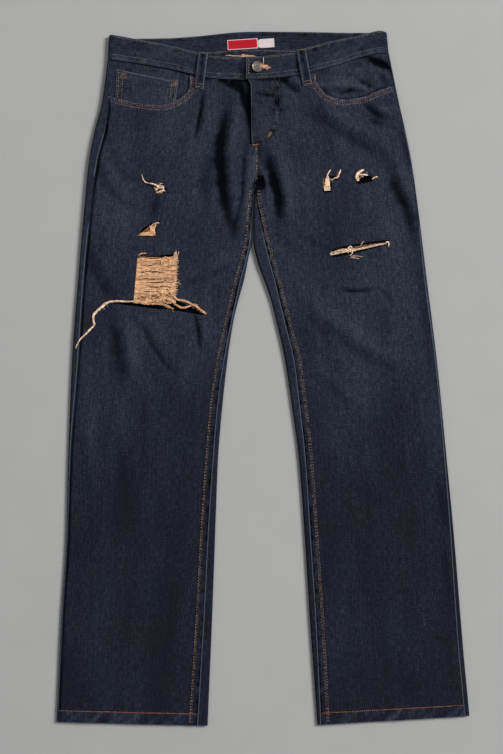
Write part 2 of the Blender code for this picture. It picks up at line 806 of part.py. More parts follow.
def waist_button():
    """A turned shank button: domed cap, rolled rim and a stem through the buttonhole."""
    foot = band_face("right", 0.0) + GAP
    brim = band_face("left", BUTTON[0]) + GAP
    profile = [(ring.radius, brim + ring.above) for ring in BUTTON_CAP]
    profile += [(SHANK_RADIUS, brim), (SHANK_RADIUS, foot), (0.0, foot)]
    mesh = bpy.data.meshes.new("waist_button")
    edges = [(i, i + 1) for i in range(len(profile) - 1)]
    mesh.from_pydata([(radius * MM, 0, z * MM) for radius, z in profile], edges, [])
    piece = add_object("waist_button", mesh, METAL)
    piece.location = (BUTTON[0] * MM, BUTTON[1] * MM, 0)
    turned = piece.modifiers.new("turned", "SCREW")
    turned.steps = BUTTON_STEPS
    turned.render_steps = BUTTON_STEPS
    turned.use_merge_vertices = True
    turned.merge_threshold = MERGE


def loose_yarn():
    """The long yarn, lying on the front face from the big tear to the outline."""
    route = curve_through(YARN_ROUTE, YARN_STEPS)
    data = bpy.data.curves.new("rip_yarn", "CURVE")
    data.dimensions = "3D"
    data.bevel_depth = YARN_RADIUS * MM
    data.bevel_resolution = 2
    data.use_fill_caps = True
    spline = data.splines.new("POLY")
    spline.points.add(len(route) - 1)
    for point, spot in zip(spline.points, route):
        place, normal = face_point("right", spot.x, unsettle("right", FRONT, spot.x, spot.y))
        place = place + normal * (GAP + YARN_RADIUS)
        point.co = (*(place * MM), 1.0)
    add_object("rip_yarn", data, YARN)


for old in list(bpy.data.objects):
    bpy.data.objects.remove(old)
parts = collection("ripped_jeans")
cutters = collection("cutters")

for leg in ("right", "left"):
    front_panel(leg)
    back_panel(leg)
    yoke(leg)
    pocket_facing(leg)

band_piece, buttonhole = waistband()
cut(band_piece, "buttonhole", buttonhole)

coin = quad_patch(COIN_POCKET, *COIN_GRID, "right")
shell("coin_pocket", DENIM, *COIN_GRID, coin, CLOTH, COIN_DEPTH)

for loop_name, place_of_loop in FRONT_LOOPS.items():
    front_loop(loop_name, place_of_loop)
for loop_name, loop_x in BACK_LOOPS.items():
    loop_y = band_top[BACK](loop_x) - BACK_LOOP_LENGTH / 2 - 1
    flat_box(loop_name, DENIM, loop_x, loop_y, LOOP_WIDTH, BACK_LOOP_LENGTH, 0.0, CLOTH)

for pocket_name, pocket_x in BACK_POCKETS.items():
    pocket_outline = [Spot(spot.x + pocket_x, spot.y) for spot in BACK_POCKET]
    add_object(pocket_name, prism(pocket_name, pocket_outline, 0.0, CLOTH), DENIM)

waist_button()
for tag_name, tag in TAGS.items():
    tag_finish = RED if tag_name == "waist_label" else WHITE
    tag_low = SEAT_LIFT + BAND_CLOTH + GAP
    flat_box(tag_name, tag_finish, tag.x, tag.y, tag.width, tag.height, tag_low, LABEL_CLOTH, LABEL_TURN)

weft = quad_patch(WEFT_PANEL, *WEFT_GRID, "right")
shell("rip_weft", YARN, *WEFT_GRID, weft, WEFT_CLOTH, WEFT_DEPTH)
loose_yarn()
for strand_name, strand in STRANDS.items():
    strand_corners = strip_corners(strand.x0, strand.y0, strand.x1, strand.y1, strand.width)
    strand_skin = quad_patch(strand_corners, 1, STRIP_ROWS, strand.side)
    shell(strand_name, YARN, 1, STRIP_ROWS, strand_skin, strand.thickness, -STRAND_GAP - strand.thickness)
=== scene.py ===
import math

import bmesh
import bpy
import numpy as np
from mathutils import Matrix, Vector


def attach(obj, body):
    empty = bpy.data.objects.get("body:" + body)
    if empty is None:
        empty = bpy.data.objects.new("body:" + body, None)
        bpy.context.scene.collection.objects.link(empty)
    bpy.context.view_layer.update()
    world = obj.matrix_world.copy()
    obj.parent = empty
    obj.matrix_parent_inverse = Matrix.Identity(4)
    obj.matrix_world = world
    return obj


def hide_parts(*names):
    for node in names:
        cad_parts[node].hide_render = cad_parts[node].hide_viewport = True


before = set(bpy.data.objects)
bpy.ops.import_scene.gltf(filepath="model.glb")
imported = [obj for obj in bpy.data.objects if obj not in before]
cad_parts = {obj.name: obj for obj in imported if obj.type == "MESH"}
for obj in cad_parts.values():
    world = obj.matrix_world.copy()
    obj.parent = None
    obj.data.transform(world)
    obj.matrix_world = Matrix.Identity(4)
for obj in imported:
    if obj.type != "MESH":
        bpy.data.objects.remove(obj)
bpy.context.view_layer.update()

# Ripped jeans laid flat: denim, stitching, frayed yarn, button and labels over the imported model.
# Sizes and places are in millimetres, and become metres where meshes are made.
mm = 0.001
scene = bpy.context.scene
made = {}  # every finished piece by name

garment = {
    "wall": 1.1,  # one layer of denim
    "cell": 3.0,  # the panels' mesh size
    "frontWidth": 212.0,  # about how wide a front is, for its number of columns
    "tuck": 0.4,  # how far a panel's top edge draws back from the band
    "edgeCells": (0.0, 0.6, 1.4, 2.6, 4.2, 6.2, 8.4, 10.8),  # finer rows and columns beside an edge
    "gap": 0.3,
    "crevice": 0.5,  # each panel's half of the dark line between panels
    "waist": 460.0,
    "hem": -518.0,
    "crotch": 294.0,
    "centreBack": -13.0,
    "yoke": 424.0,  # the yoke seam at the sides
    "yokeDip": 32.0,  # and how far it drops to the centre back
    "allowance": 6.5,  # what a back's cut adds along a seam
    "seatLift": 1.5,
}
waist, hem, crotch = garment["waist"], garment["hem"], garment["crotch"]
inward = {"right": 1, "left": -1}
farInside = 9.0  # wear is the same this far from an edge and beyond


def ease(low, high, value):
    share = np.clip((value - low) / (high - low), 0, 1)
    return share * share * (3 - 2 * share)


def bell(distance, width):  # 1 on the line of a ridge or groove, fading to 0 on both sides
    return np.exp(-((distance / width) ** 2))


def stacked(*parts):  # values joined along a new last axis
    return np.stack(np.broadcast_arrays(*parts), axis=-1)


def distancesAlong(line):  # how far each point is from the line's start
    return np.concatenate(((0,), np.cumsum(np.linalg.norm(np.diff(line, axis=0), axis=1))))


def resampled(line, stops):  # the line's points at the given distances along it
    lengths = distancesAlong(line)
    return np.column_stack([np.interp(stops, lengths, line[:, k]) for k in range(line.shape[1])])


def smoothLine(*knots):  # a curve through (key, value) knots that never overshoots them
    keys, values = np.array(sorted(knots), float).T
    steps = np.diff(values) / np.diff(keys)
    slopes = np.concatenate(([steps[0]], np.zeros(len(steps) - 1), [steps[-1]]))
    same = steps[:-1] * steps[1:] > 0
    sums = np.where(same, steps[:-1] + steps[1:], 1.0)
    slopes[1:-1] = np.where(same, 2 * steps[:-1] * steps[1:] / sums, 0.0)

    def value(key):
        key = np.clip(key, keys[0], keys[-1])
        i = np.clip(np.searchsorted(keys, key, side="right") - 1, 0, len(steps) - 1)
        span = keys[i + 1] - keys[i]
        t = (key - keys[i]) / span
        pull = slopes[i] * (1 - t) ** 2 * t - slopes[i + 1] * t * t * (1 - t)
        return values[i] + (values[i + 1] - values[i]) * t * t * (3 - 2 * t) + pull * span

    return value


def edgeLines(rows):  # rows of y, outline, seam
    return smoothLine(*[(y, a) for y, a, b in rows]), smoothLine(*[(y, b) for y, a, b in rows])


sideEdges = {
    "right": (
        (460, -233.0, -230.5), (430, -237.0, -233.0), (400, -242.4, -232.5), (370, -251.9, -237.0),
        (330, -260.6, -248.0), (268, -267.0, -256.8), (148, -277.5, -269.1), (28, -286.5, -277.5),
        (-122, -292.5, -289.5), (-242, -295.5, -293.7), (-362, -303.0, -301.2), (-518, -309.9, -308.1),
    ),
    "left": (
        (460, 188.5, 187.0), (430, 195.5, 194.0), (400, 203.5, 202.0), (370, 212.5, 211.0),
        (330, 222.0, 220.5), (268, 231.0, 229.0), (148, 246.0, 241.5), (28, 261.0, 257.5),
        (-122, 276.0, 271.8), (-242, 287.3, 281.3), (-362, 297.0, 289.3), (-518, 309.9, 301.9),
    ),
}
innerEdges = {
    "right": (
        (294, -13.0, -14.3), (268, -13.8, -15.1), (243, -15.0, -17.5), (208, -16.8, -20.3),
        (178, -22.5, -26.3), (148, -28.5, -34.5), (118, -36.8, -41.3), (88, -44.0, -47.5),
        (28, -53.3, -59.3), (-32, -60.0, -68.0), (-122, -67.5, -75.8), (-242, -72.0, -83.4),
        (-362, -76.5, -89.4), (-518, -83.0, -98.9),
    ),
    "left": (
        (294, -12.2, -10.9), (268, -13.0, -9.5), (243, -14.2, -4.8), (208, -14.6, 2.4),
        (178, -9.0, 9.8), (148, 1.5, 17.9), (118, 12.0, 25.2), (88, 19.5, 32.4),
        (28, 33.0, 47.0), (-32, 42.0, 54.6), (-122, 54.0, 64.2), (-242, 63.0, 72.2),
        (-362, 70.5, 80.1), (-518, 81.8, 87.6),
    ),
}
outline, sideSeam, innerOutline, inseam = {}, {}, {}, {}
for side in inward:
    outline[side], sideSeam[side] = edgeLines(sideEdges[side])
    innerOutline[side], inseam[side] = edgeLines(innerEdges[side])
middleEdge = {  # the fronts' middle edges: the left one laps over the right as far as the fly goes
    "right": smoothLine((460, -12), (358, -12), (346, -12.8), (306, -12.8), (294, -14.3)),
    "left": smoothLine((460, -22.5), (450, -18.3), (358, -17), (346, -12.2), (306, -12.2), (294, -10.9)),
}
bandFront = (  # x, top, seam
    (-228, 514.9, 477.8), (-196, 509.6, 473.6), (-140, 498.4, 464.0), (-99, 488.6, 454.6),
    (-79, 483.0, 450.2), (-50, 482.0, 448.4), (-17, 482.2, 448.6), (48, 488.2, 454.1),
    (69, 496.2, 458.6), (112, 507.1, 469.9), (151, 514.9, 482.6), (179, 520.9, 488.0),
    (186, 519.4, 488.1),
)
bandBack = (
    (-228, 514.9, 477.8), (-199, 510.4, 476.0), (-145, 511.1, 477.0), (-99, 514.1, 480.0),
    (-39, 520.1, 485.5), (-13, 521.0, 486.0), (63, 520.5, 484.6), (148, 519.0, 486.6),
    (186, 519.4, 488.1),
)
bandTop, bandSeam = {}, {}
for face, rows in (("front", bandFront), ("back", bandBack)):
    bandTop[face], bandSeam[face] = edgeLines(rows)
cuffLine = {
    "right": smoothLine((-309.9, -514.9), (-83.0, -520.9)),
    "left": smoothLine((81.8, -519.4), (309.9, -506.0)),
}
pile = smoothLine((460, 9.0), (300, 8.5), (100, 7.0), (-150, 6.0), (-518, 6.0))  # height of the layers


def bed(y):  # the seat is lifted by what lies under it
    return garment["seatLift"] * ease(130, 230, y)


def settle(side, face, x, y):  # the real y of a level line's point, bent to the waist seam and the hem
    toWaist = (bandSeam[face](x) - waist) * ease(330, waist, y)
    toHem = (cuffLine[side](x) - hem) * ease(-400, hem, y)
    return y + toWaist + toHem


def unsettle(side, face, x, y):
    level = np.array(y, float)
    for _ in range(10):
        level = level + y - settle(side, face, x, level)
    return level


def lattice(x, y, size, seed):  # smooth noise from -1 to 1, with cells of size (across, along)
    grid = np.random.default_rng(seed).uniform(-1, 1, (64, 64))
    u, v = np.asarray(x) / size[0] + 200.37, np.asarray(y) / size[1] + 200.71
    i, j = np.floor(u).astype(int), np.floor(v).astype(int)
    a, b = u - i, v - j
    a, b = a * a * (3 - 2 * a), b * b * (3 - 2 * b)
    corner = lambda di, dj: grid[(i + di) % 64, (j + dj) % 64]
    low = corner(0, 0) * (1 - a) + corner(1, 0) * a
    return low * (1 - b) + (corner(0, 1) * (1 - a) + corner(1, 1) * a) * b


# route, width, height and lean: a negative lean is steeper on the route's right
creases = (
    ((
        (-54, 410), (-58, 385), (-64, 357), (-65, 335), (-63, 310), (-60.5, 285), (-57, 258), (-50, 237),
        (-43, 212),
    ), 9, -5.2, 0.0),
    (((-40, 420), (-46, 375), (-50, 336), (-49, 309), (-46, 280), (-42, 250)), 11, 2.8, -0.4),
    (((-80, 350), (-86, 318), (-88, 285), (-84, 250)), 13, -2.4, 0.0),
    (((-38, 455), (-34, 436), (-28, 418), (-23, 400), (-20, 378)), 6, -5.4, 0.0),
    (((-60, 447), (-48, 440), (-34, 434)), 6, -4.0, 0.0),
    (((29, 448), (42, 438), (57, 427)), 5.5, -3.9, 0.0),
    (((36, 455), (50, 445), (64, 434)), 7, 1.4, 0.0),
    (((-23, 392), (-21, 345)), 3.0, -1.4, 0.0),
    (((-9, 306), (-6, 296), (-3, 284)), 8, -5.5, 0.0),
    (((-11, 285), (-9, 242), (-3, 208)), 4, -2.5, 0.0),
    ((
        (-25, 352), (-30, 329), (-31.5, 304), (-32.5, 278), (-35.5, 258), (-39, 240), (-43, 220),
    ), 3.4, -3.6, 0.0),
    (((-19, 345), (-22, 300), (-25, 262), (-31, 232)), 6, 2.0, 0.0),
    (((4, 340), (12, 322), (15, 304), (19.5, 287), (25, 271), (25, 254), (23.5, 236)), 9, -6.0, 0.0),
    (((14, 344), (22, 314), (32, 286), (38, 242)), 14, 3.8, -0.4),
    (((-9, 321), (0, 308), (5.5, 295), (7.5, 278), (10.5, 254)), 3.6, 3.0, 0.0),
    (((-6.5, 356), (-6, 340), (-4, 322)), 3, -2.4, 0.0),
    (((-14, 427), (8, 425), (27, 423.5)), 2.6, -3.8, 0.0),
    (((-15, 416), (0, 413)), 2.4, -2.6, 0.0),
    (((12, 403), (30, 402)), 2.6, -3.8, 0.0),
    (((42, 409), (66, 398), (92, 386), (123, 366), (157, 347), (187, 321)), 11, -2.7, 0.0),
    (((62, 429), (95, 403), (133, 378), (167, 358), (196, 331)), 13, 1.7, -0.4),
    (((183, 326), (198, 287), (215, 258), (221, 224), (226, 193)), 8.5, -3.2, 0.0),
    (((198, 330), (210, 290), (226, 256)), 9, 2.8, -0.4),
    (((148, 415), (160, 405), (174, 394), (191, 388)), 5.5, -4.3, 0.0),
    (((156, 391), (170, 384), (186, 379)), 4.5, -3.6, 0.0),
    (((168, 406), (180, 400), (194, 396)), 4.5, 2.2, 0.0),
    (((154, 482), (175, 473), (194, 463)), 5, -4.6, 0.0),
    (((150, 468), (171, 461), (190, 450)), 5, 1.8, 0.0),
    (((172, 461), (180, 450), (184, 440)), 4.5, -3.2, 0.0),
    (((143, 448), (161, 440)), 4, -3.1, 0.0),
    (((111, 425), (124, 431), (140, 434)), 3, -2.8, 0.0),
    (((86, 442), (112, 444), (132, 445), (141, 451)), 3.2, 1.7, 0.0),
    (((-250, 336), (-246, 313), (-233, 283), (-211, 261), (-185, 250)), 8, -2.1, 0.0),
    (((-240, 340), (-235, 313), (-223, 290), (-203, 272)), 10, 1.3, -0.3),
    (((-237, 350), (-207, 302), (-177, 289)), 8, -1.5, 0.0),
    (((-156, 282), (-166, 244)), 5, -1.7, 0.0),
    (((-259, 208), (-256, 171), (-244, 144), (-227, 127)), 9, -2.3, 0.0),
    (((-246, 194), (-240, 165), (-226, 146)), 10, 1.6, -0.3),
    (((-127, 137), (-87, 153), (-47, 168)), 7, -1.5, 0.0),
    (((-118, 152), (-87, 167), (-50, 181)), 8, 1.4, -0.2),
    (((-230, 99), (-219, 60), (-212, 20), (-211, -14)), 12, -2.2, 0.0),
    (((-214, 92), (-204, 56), (-197, 20), (-196, -18)), 14, 2.4, -0.4),
    (((-192, 100), (-180, 82)), 4.5, 1.6, 0.0),
    (((-188, 91), (-164, 44), (-146, 20), (-128, 4)), 3.6, -3.2, 0.0),
    (((-181, 94), (-156, 60), (-130, 27)), 9, 1.3, -0.3),
    (((-104, 101), (-98, 77), (-95, 44)), 2.6, -3.8, 0.0),
    (((-97, 98), (-89, 76), (-85, 50)), 7, 1.3, -0.3),
    (((63, 103), (86, 80), (123, 54), (160, 28), (198, 9)), 12, -2.3, 0.0),
    (((74, 113), (97, 92), (133, 65), (170, 39), (203, 21)), 12, 2.2, -0.35),
    (((86, 74), (101, 46)), 6, -1.5, 0.0),
    (((78, 2), (104, -21), (135, -52)), 9, -1.2, 0.0),
    (((88, 11), (114, -11), (143, -40)), 9, 1.0, -0.2),
    (((55, 213), (97, 192)), 7, -1.8, 0.0),
    (((10, 228), (44, 188)), 8, -1.7, 0.0),
    (((112, 133), (138, 131), (170, 133)), 2.8, -4.0, 0.0),
    (((172, 137), (182, 128), (196, 108)), 3, -2.2, 0.0),
    (((164, 125), (173, 109)), 4, -1.0, 0.0),
    (((228, 193), (241, 95), (249, 2)), 7, -1.7, 0.0),
    (((-90, 436), (-92, 415), (-96, 388), (-102, 360)), 3.4, -4.0, 0.0),
    (((-82, 431), (-85, 400), (-88, 368)), 7, 1.3, -0.3),
    (((-240, 382), (-238, 362)), 6, -3.1, 0.0),
    (((-267, 28), (-259, -84), (-248, -197)), 12, 2.4, 0.0),
    (((-176, 22), (-173, -30), (-172, -78)), 7, 1.6, 0.0),
    (((-233, -47), (-212, -140), (-203, -215)), 14, -1.3, 0.0),
    (((-268, -290), (-262, -420)), 12, 0.7, 0.0),
    (((-150, -300), (-142, -380), (-148, -440)), 14, -1.0, 0.0),
    (((262, -150), (273, -228)), 6, -1.7, 0.0),
    (((266, -248), (277, -333)), 7, -2.0, 0.0),
    (((241, -386), (278, -397)), 8, -1.7, 0.0),
    (((150, -150), (175, -260)), 20, -1.3, 0.0),
    (((78, 409), (88, 402)), 6, -1.8, 0.0),
    (((205, 372), (214, 340), (219, 310)), 5, -2.6, 0.0),
    (((-163, 286), (-146, 281)), 6, -2.5, 0.0),
    (((-184, 219), (-160, 226)), 8, -2.2, 0.0),
    (((93, 283), (100, 300)), 6, -2.2, 0.0),
    (((141, 300), (160, 300)), 5, -2.5, 0.0),
    (((100, 188), (188, 206)), 6, -3.0, 0.0),
)


def nearestPlace(route, x, y):  # distance from a line, how far along it that is, and on which side
    shape = np.broadcast(x, y).shape
    near, place, across = np.full(shape, 1e6), np.zeros(shape), np.zeros(shape)
    start = 0.0
    for (x0, y0), (x1, y1) in zip(route, route[1:]):
        length = math.dist((x0, y0), (x1, y1))
        dx, dy = (x1 - x0) / length, (y1 - y0) / length
        share = np.clip(((x - x0) * dx + (y - y0) * dy) / length, 0, 1)
        off = np.hypot(x - x0 - dx * length * share, y - y0 - dy * length * share)
        closer = off < near
        near = np.where(closer, off, near)
        place = np.where(closer, start + share * length, place)
        across = np.where(closer, np.sign((y - y0) * dx - (x - x0) * dy), across)
        start += length
    return near, place, across, start


def creaseHeight(x, y):
    total = np.zeros(np.broadcast(x, y).shape)
    for route, width, height, lean in creases:
        near, place, across, length = nearestPlace(route, x, y)
        taper = np.sqrt(np.sin(np.pi * np.clip(place / length, 0.03, 0.97)))
        uneven = 1 + 0.14 * np.sin(place * 0.21 + route[0][0]) + 0.09 * np.sin(place * 0.53 + route[0][1])
        total += height * taper * bell(near, width * uneven * (1 - lean * across))
    return total


def undulate(x, y):  # the small unevenness of worn cloth
    broad = 0.6 * lattice(x, y, (36, 60), 3) + 0.34 * lattice(x + 0.3 * y, y, (15, 28), 5)
    return broad + 0.13 * lattice(x - 0.2 * y, y, (7, 13), 8)


def roll(distance, half):  # 0 at the rolled edge and 1 where the cloth lies level
    return np.sqrt(np.maximum(1 - (1 - np.minimum(distance / half, 1)) ** 2, 0))


def legsApart(y):  # 1 down the legs and 0 above the crotch
    return 1 - ease(crotch - 9, crotch + 12, y)


def flyStep(side, x, dip, lift):  # the right front lies lower under the left one's lap
    return -dip * ease(-48, -28, x) if side == "right" else lift * (1 - ease(-10, 15, x))


def frontHeight(side, x, y):  # the front's outer face on a level line, without its hems
    half = (pile(y) - bed(y)) / 2
    outer = np.abs(x - outline[side](y))
    inner = np.abs(x - innerOutline[side](y))
    below = legsApart(y)
    full = np.minimum(roll(outer, half), 1 - (1 - roll(inner, half)) * below)
    near = np.minimum(outer, inner + 40 * (1 - below))
    soft = (creaseHeight(x, settle(side, "front", x, y)) + undulate(x, y)) * ease(0, 14, near)
    soft = np.where(soft < -3, -3 - 1.2 * np.tanh((-3 - soft) / 1.2), soft)
    return bed(y) + half * (1 + full) + soft + flyStep(side, x, 1.8, 0.5) * ease(320, 346, y)


def routeDistance(route, x, y):  # how far each point is from a line through the route's spots
    near = np.full(np.broadcast(x, y).shape, 1e6)
    for (x0, y0), (x1, y1) in zip(route, route[1:]):
        dx, dy = x1 - x0, y1 - y0
        share = np.clip(((x - x0) * dx + (y - y0) * dy) / (dx * dx + dy * dy), 0, 1)
        near = np.minimum(near, np.hypot(x - x0 - dx * share, y - y0 - dy * share))
    return near


def smoothRoute(spots, steps=6):  # a smooth curve through spots that are spread evenly along it
    spots = np.array(spots, float)
    keys = np.arange(len(spots))
    fine = np.linspace(0, len(spots) - 1, (len(spots) - 1) * steps + 1)
    return np.column_stack([smoothLine(*zip(keys, spots[:, k]))(fine) for k in range(spots.shape[1])])


def evenRoute(route, pitch):  # the same line with a spot every pitch or so
    route = np.array(route, float)
    length = distancesAlong(route)[-1]
    return resampled(route, np.linspace(0, length, max(int(round(length / pitch)), 1) + 1))


def offsetRoute(route, distance):  # to the left of the route's direction
    route = np.array(route, float)
    way = np.gradient(route, axis=0)
    way /= np.linalg.norm(way, axis=1, keepdims=True)
    return route + np.column_stack((-way[:, 1], way[:, 0])) * distance


pocketMouth = {
    "right": smoothRoute(((-108, 452.6), (-111.5, 433), (-129, 417.5), (-153, 410), (-190, 414), (-236, 424))),
    "left": smoothRoute(
        ((77.4, 455.6), (82.5, 440), (100, 423), (121, 418.4), (146, 421), (172, 431.3), (202, 442))
    ),
}
flyCurve = smoothRoute(((24.5, 452), (24.5, 415), (23, 388), (14, 366), (2, 357), (-13, 352)))  # the J


def flyReach(realY):  # where the fly's curve is at a height
    return np.interp(-realY, -flyCurve[:, 1], flyCurve[:, 0])


hems = {  # widths and heights of what is turned in or felled
    "mouth": 10.5,
    "mouthRows": (2.2, 7.8),
    "felledRow": 0.9,  # in from the felled inseam's edge
    "cuffRow": 17.6,
    "flyRow": 7.0,  # from the fly's curve to its second row
    "cuff": 19.0,
    "raise": 0.55,
    "cuffRaise": 0.6,
    "cuffWall": 2.3,
    "rope": 0.34,
    "groove": 0.6,
}
inseamHem = smoothLine((294, 6.0), (150, 8.5), (28, 10.3), (-242, 11.3), (-518, 12.6))  # widens to the cuff


def ridge(distance, width, rows, seed, along):  # a folded edge's height, puckered and grooved by its stitches
    pucker = hems["rope"] * lattice(along, 0, (4.5, 10), seed)
    grooves = sum(hems["groove"] * bell(distance - row, 1.0) for row in rows)
    return (hems["raise"] + pucker) * (1 - ease(width - 1.2, width + 0.8, distance)) - grooves


def hemHeight(side, x, y, realY):
    width = inseamHem(y)
    felled = ridge(np.abs(x - inseam[side](y)), width, (width - hems["felledRow"],), 11, y)
    felled = felled * (1 - ease(crotch - 14, crotch, y))
    mouth = ridge(routeDistance(pocketMouth[side], x, realY), hems["mouth"], hems["mouthRows"], 12, x + y)
    cuffRope = hems["rope"] * lattice(x - y * 0.8, 0, (5, 10), 13) + 0.5 * lattice(x - y, 0, (24, 10), 14)
    cuff = (hems["cuffRaise"] + cuffRope) * (1 - ease(hems["cuff"] - 1, hems["cuff"] + 1.2, y - hem))
    fromSide = np.abs(x - sideSeam[side](y))
    outseam = 0.2 * (1 - ease(4, 8, fromSide)) - {"right": 1.0, "left": 0.3}[side] * bell(fromSide - 2.6, 2)
    fly = 0.0
    if side == "left":
        inside = ease(-2.5, 2.5, flyReach(realY) - x)
        rows = flyCurve, offsetRoute(flyCurve, -hems["flyRow"])
        sewn = sum(bell(routeDistance(row, x, realY), 1.5) for row in rows)
        fly = 0.5 * inside * ease(348, 360, realY) - 0.8 * sewn * (0.7 + 0.5 * lattice(y, 0, (5, 9), 15))
    tuck = -0.35 * (1 - ease(0, 5, waist - y))
    return np.maximum(np.maximum(felled, mouth), cuff) + outseam + fly + tuck


def facePoints(side, x, y, lift=0.0):  # points of the front's hemmed face on level lines
    realY = settle(side, "front", x, y)
    return stacked(x, realY, frontHeight(side, x, y) + hemHeight(side, x, y, realY) + lift)


def faceAt(side, x, realY, lift=0.0):
    x, realY = np.asarray(x, float), np.asarray(realY, float)
    return facePoints(side, x, unsettle(side, "front", x, realY), lift)


def spread(length, cell, edges):  # distances from 0 to length, finer beside both ends
    count = max(int(round((length - 2 * edges[-1]) / cell)), 2)
    middle = np.linspace(edges[-1], length - edges[-1], count + 1)[1:-1]
    return np.concatenate((edges, middle, [length - step for step in reversed(edges)]))


def gridNormals(points):
    along = np.gradient(points, axis=1)
    down = np.gradient(points, axis=0)
    normals = np.cross(down, along)
    return normals / np.maximum(np.linalg.norm(normals, axis=-1, keepdims=True), 1e-9)


def finishMesh(name, mesh, finishes, smoothAngle=45):
    piece = bpy.data.objects.new(name, mesh)
    scene.collection.objects.link(piece)
    for finish in finishes:
        mesh.materials.append(dyes[finish])
    mesh.shade_smooth()
    mesh.set_sharp_from_angle(angle=math.radians(smoothAngle))
    made[name] = piece
    return piece


def meshOf(bm, name):
    mesh = bpy.data.meshes.new(name)
    bm.to_mesh(mesh)
    bm.free()
    return mesh


def evaluatedMesh(source, name):
    mesh = bpy.data.meshes.new_from_object(source.evaluated_get(bpy.context.evaluated_depsgraph_get()))
    mesh.name = name
    return mesh


def applyModifiers(piece):
    mesh = evaluatedMesh(piece, piece.name)
    piece.modifiers.clear()
    piece.data = mesh


def extrude(bm, faces, step):  # makes closed walls from flat faces
    moved = bmesh.ops.extrude_face_region(bm, geom=faces, use_keep_orig=True)["geom"]
    bmesh.ops.translate(bm, verts=[item for item in moved if isinstance(item, bmesh.types.BMVert)], vec=step)


def declare(piece, node=None):  # node is the solid that the piece stands for, if there is one
    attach(piece, "root")
    if node:
        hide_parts(node)
    return piece


def clothWall(name, node, points, wall, finishes, weave, wearAndShade, bevel=0.35, turned=False):
    # A closed wall of cloth behind a grid of outer points. Rows run down, and turned reverses the
    # columns so that the outside faces out. weave is each point's place in the texture, set off so
    # that pieces differ, and wearAndShade its distance from a finished edge, for worn edges, and its
    # relief, which the dyes paint as shade in hollows and lighter on ridges, all in mm.
    wall = np.broadcast_to(wall, points.shape[:2])
    if turned:
        points, wall, weave, wearAndShade = (item[:, ::-1] for item in (points, wall, weave, wearAndShade))
    rows, columns = points.shape[0] - 1, points.shape[1] - 1
    inner = points - gridNormals(points) * wall[..., None]
    bm = bmesh.new()
    bmesh.ops.create_grid(bm, x_segments=columns, y_segments=rows, size=0.5)
    extrude(bm, bm.faces[:], (0, 0, -1))
    bmesh.ops.recalc_face_normals(bm, faces=bm.faces[:])
    mesh = meshOf(bm, name)
    flat = np.empty(len(mesh.vertices) * 3)
    mesh.vertices.foreach_get("co", flat)
    flat = flat.reshape(-1, 3)
    column = np.rint((flat[:, 0] + 0.5) * columns).astype(int)
    row = np.rint((0.5 - flat[:, 1]) * rows).astype(int)
    back = flat[:, 2] < -0.5
    place = np.where(back[:, None], inner[row, column], points[row, column])
    mesh.vertices.foreach_set("co", (place * mm).ravel())
    corners = np.empty(len(mesh.loops), int)
    mesh.loops.foreach_get("vertex_index", corners)
    for layer, values in (("weave", weave * mm), ("wearAndShade", wearAndShade)):
        uv = mesh.uv_layers.new(name=layer)
        uv.data.foreach_set("uv", values[row[corners], column[corners]].ravel())
    starts = np.empty(len(mesh.polygons), int)
    mesh.polygons.foreach_get("loop_start", starts)
    hidden = np.logical_and.reduceat(back[corners], starts)
    mesh.polygons.foreach_set("material_index", hidden.astype(int) * (len(finishes) > 1))
    piece = finishMesh(name, mesh, finishes)
    if bevel:
        rounded = piece.modifiers.new("rounded rims", "BEVEL")
        rounded.width = bevel * mm
        rounded.segments = 2
        rounded.limit_method = "ANGLE"
        rounded.angle_limit = math.radians(55)
        applyModifiers(piece)
    return declare(piece, node)


class Tint:  # wraps an output socket, so that shader maths is written as expressions
    def __init__(self, dye, socket):
        self.dye, self.socket = dye, socket

    def output(self, index):  # another output of the same node
        return Tint(self.dye, self.socket.node.outputs[index])

    def maths(self, operation, first, second):
        return self.dye.node("Math", {"operation": operation}, {0: first, 1: second})

    def __add__(self, other):
        return self.maths("ADD", self, other)

    def __sub__(self, other):
        return self.maths("SUBTRACT", self, other)

    def __rsub__(self, other):
        return self.maths("SUBTRACT", other, self)

    def __mul__(self, other):
        return self.maths("MULTIPLY", self, other)

    __radd__ = __add__
    __rmul__ = __mul__


class Dye:  # a material being mixed
    def __init__(self, name, roughness, metallic=0.0, sheen=0.0):
        self.material = bpy.data.materials.new(name)
        self.material.use_nodes = True
        self.tree = self.material.node_tree
        self.shader = self.tree.nodes["Principled BSDF"]
        constants = {
            "Roughness": roughness,
            "Metallic": metallic,
            "Sheen Weight": sheen,
            "Specular IOR Level": 0.5 if metallic else 0.0,  # cloth has no gloss
        }
        for socket, value in constants.items():
            self.shader.inputs[socket].default_value = value

    def node(self, kind, settings=None, values=None, output=0):
        node = self.tree.nodes.new("ShaderNode" + kind)
        for key, value in (settings or {}).items():
            setattr(node, key, value)
        for key, value in (values or {}).items():
            socket = node.inputs[key]
            if isinstance(value, Tint):
                self.tree.links.new(value.socket, socket)
            else:
                socket.default_value = (*value, 1.0) if socket.type == "RGBA" else value
        return Tint(self, node.outputs[output])

    def uv(self, layer):
        return self.node("UVMap", {"uv_map": layer})

    def place(self):  # the object's own coordinates
        return self.node("TexCoord", output=3)

    def noise(self, place, scale, detail=2.0, roughness=0.5):  # 0 to 1, scale in cells per metre
        spot = self.node("Mapping", None, {0: place, "Scale": scale})
        values = {"Vector": spot, "Scale": 1.0, "Detail": detail, "Roughness": roughness}
        return self.node("TexNoise", None, values)

    def step(self, value, low, high):  # 0 below low and 1 above high, smoothly
        settings = {"interpolation_type": "SMOOTHSTEP"}
        return self.node("MapRange", settings, {0: value, 1: low, 2: high})

    def blend(self, share, first, second):
        return self.node("Mix", {"data_type": "RGBA"}, {0: share, 6: first, 7: second}, output=2)

    def feed(self, socket, tint):
        self.tree.links.new(tint.socket, self.shader.inputs[socket])

    def bump(self, height, distance, strength=1.0):
        values = {"Height": height, "Distance": distance, "Strength": strength}
        self.feed("Normal", self.node("Bump", None, values))


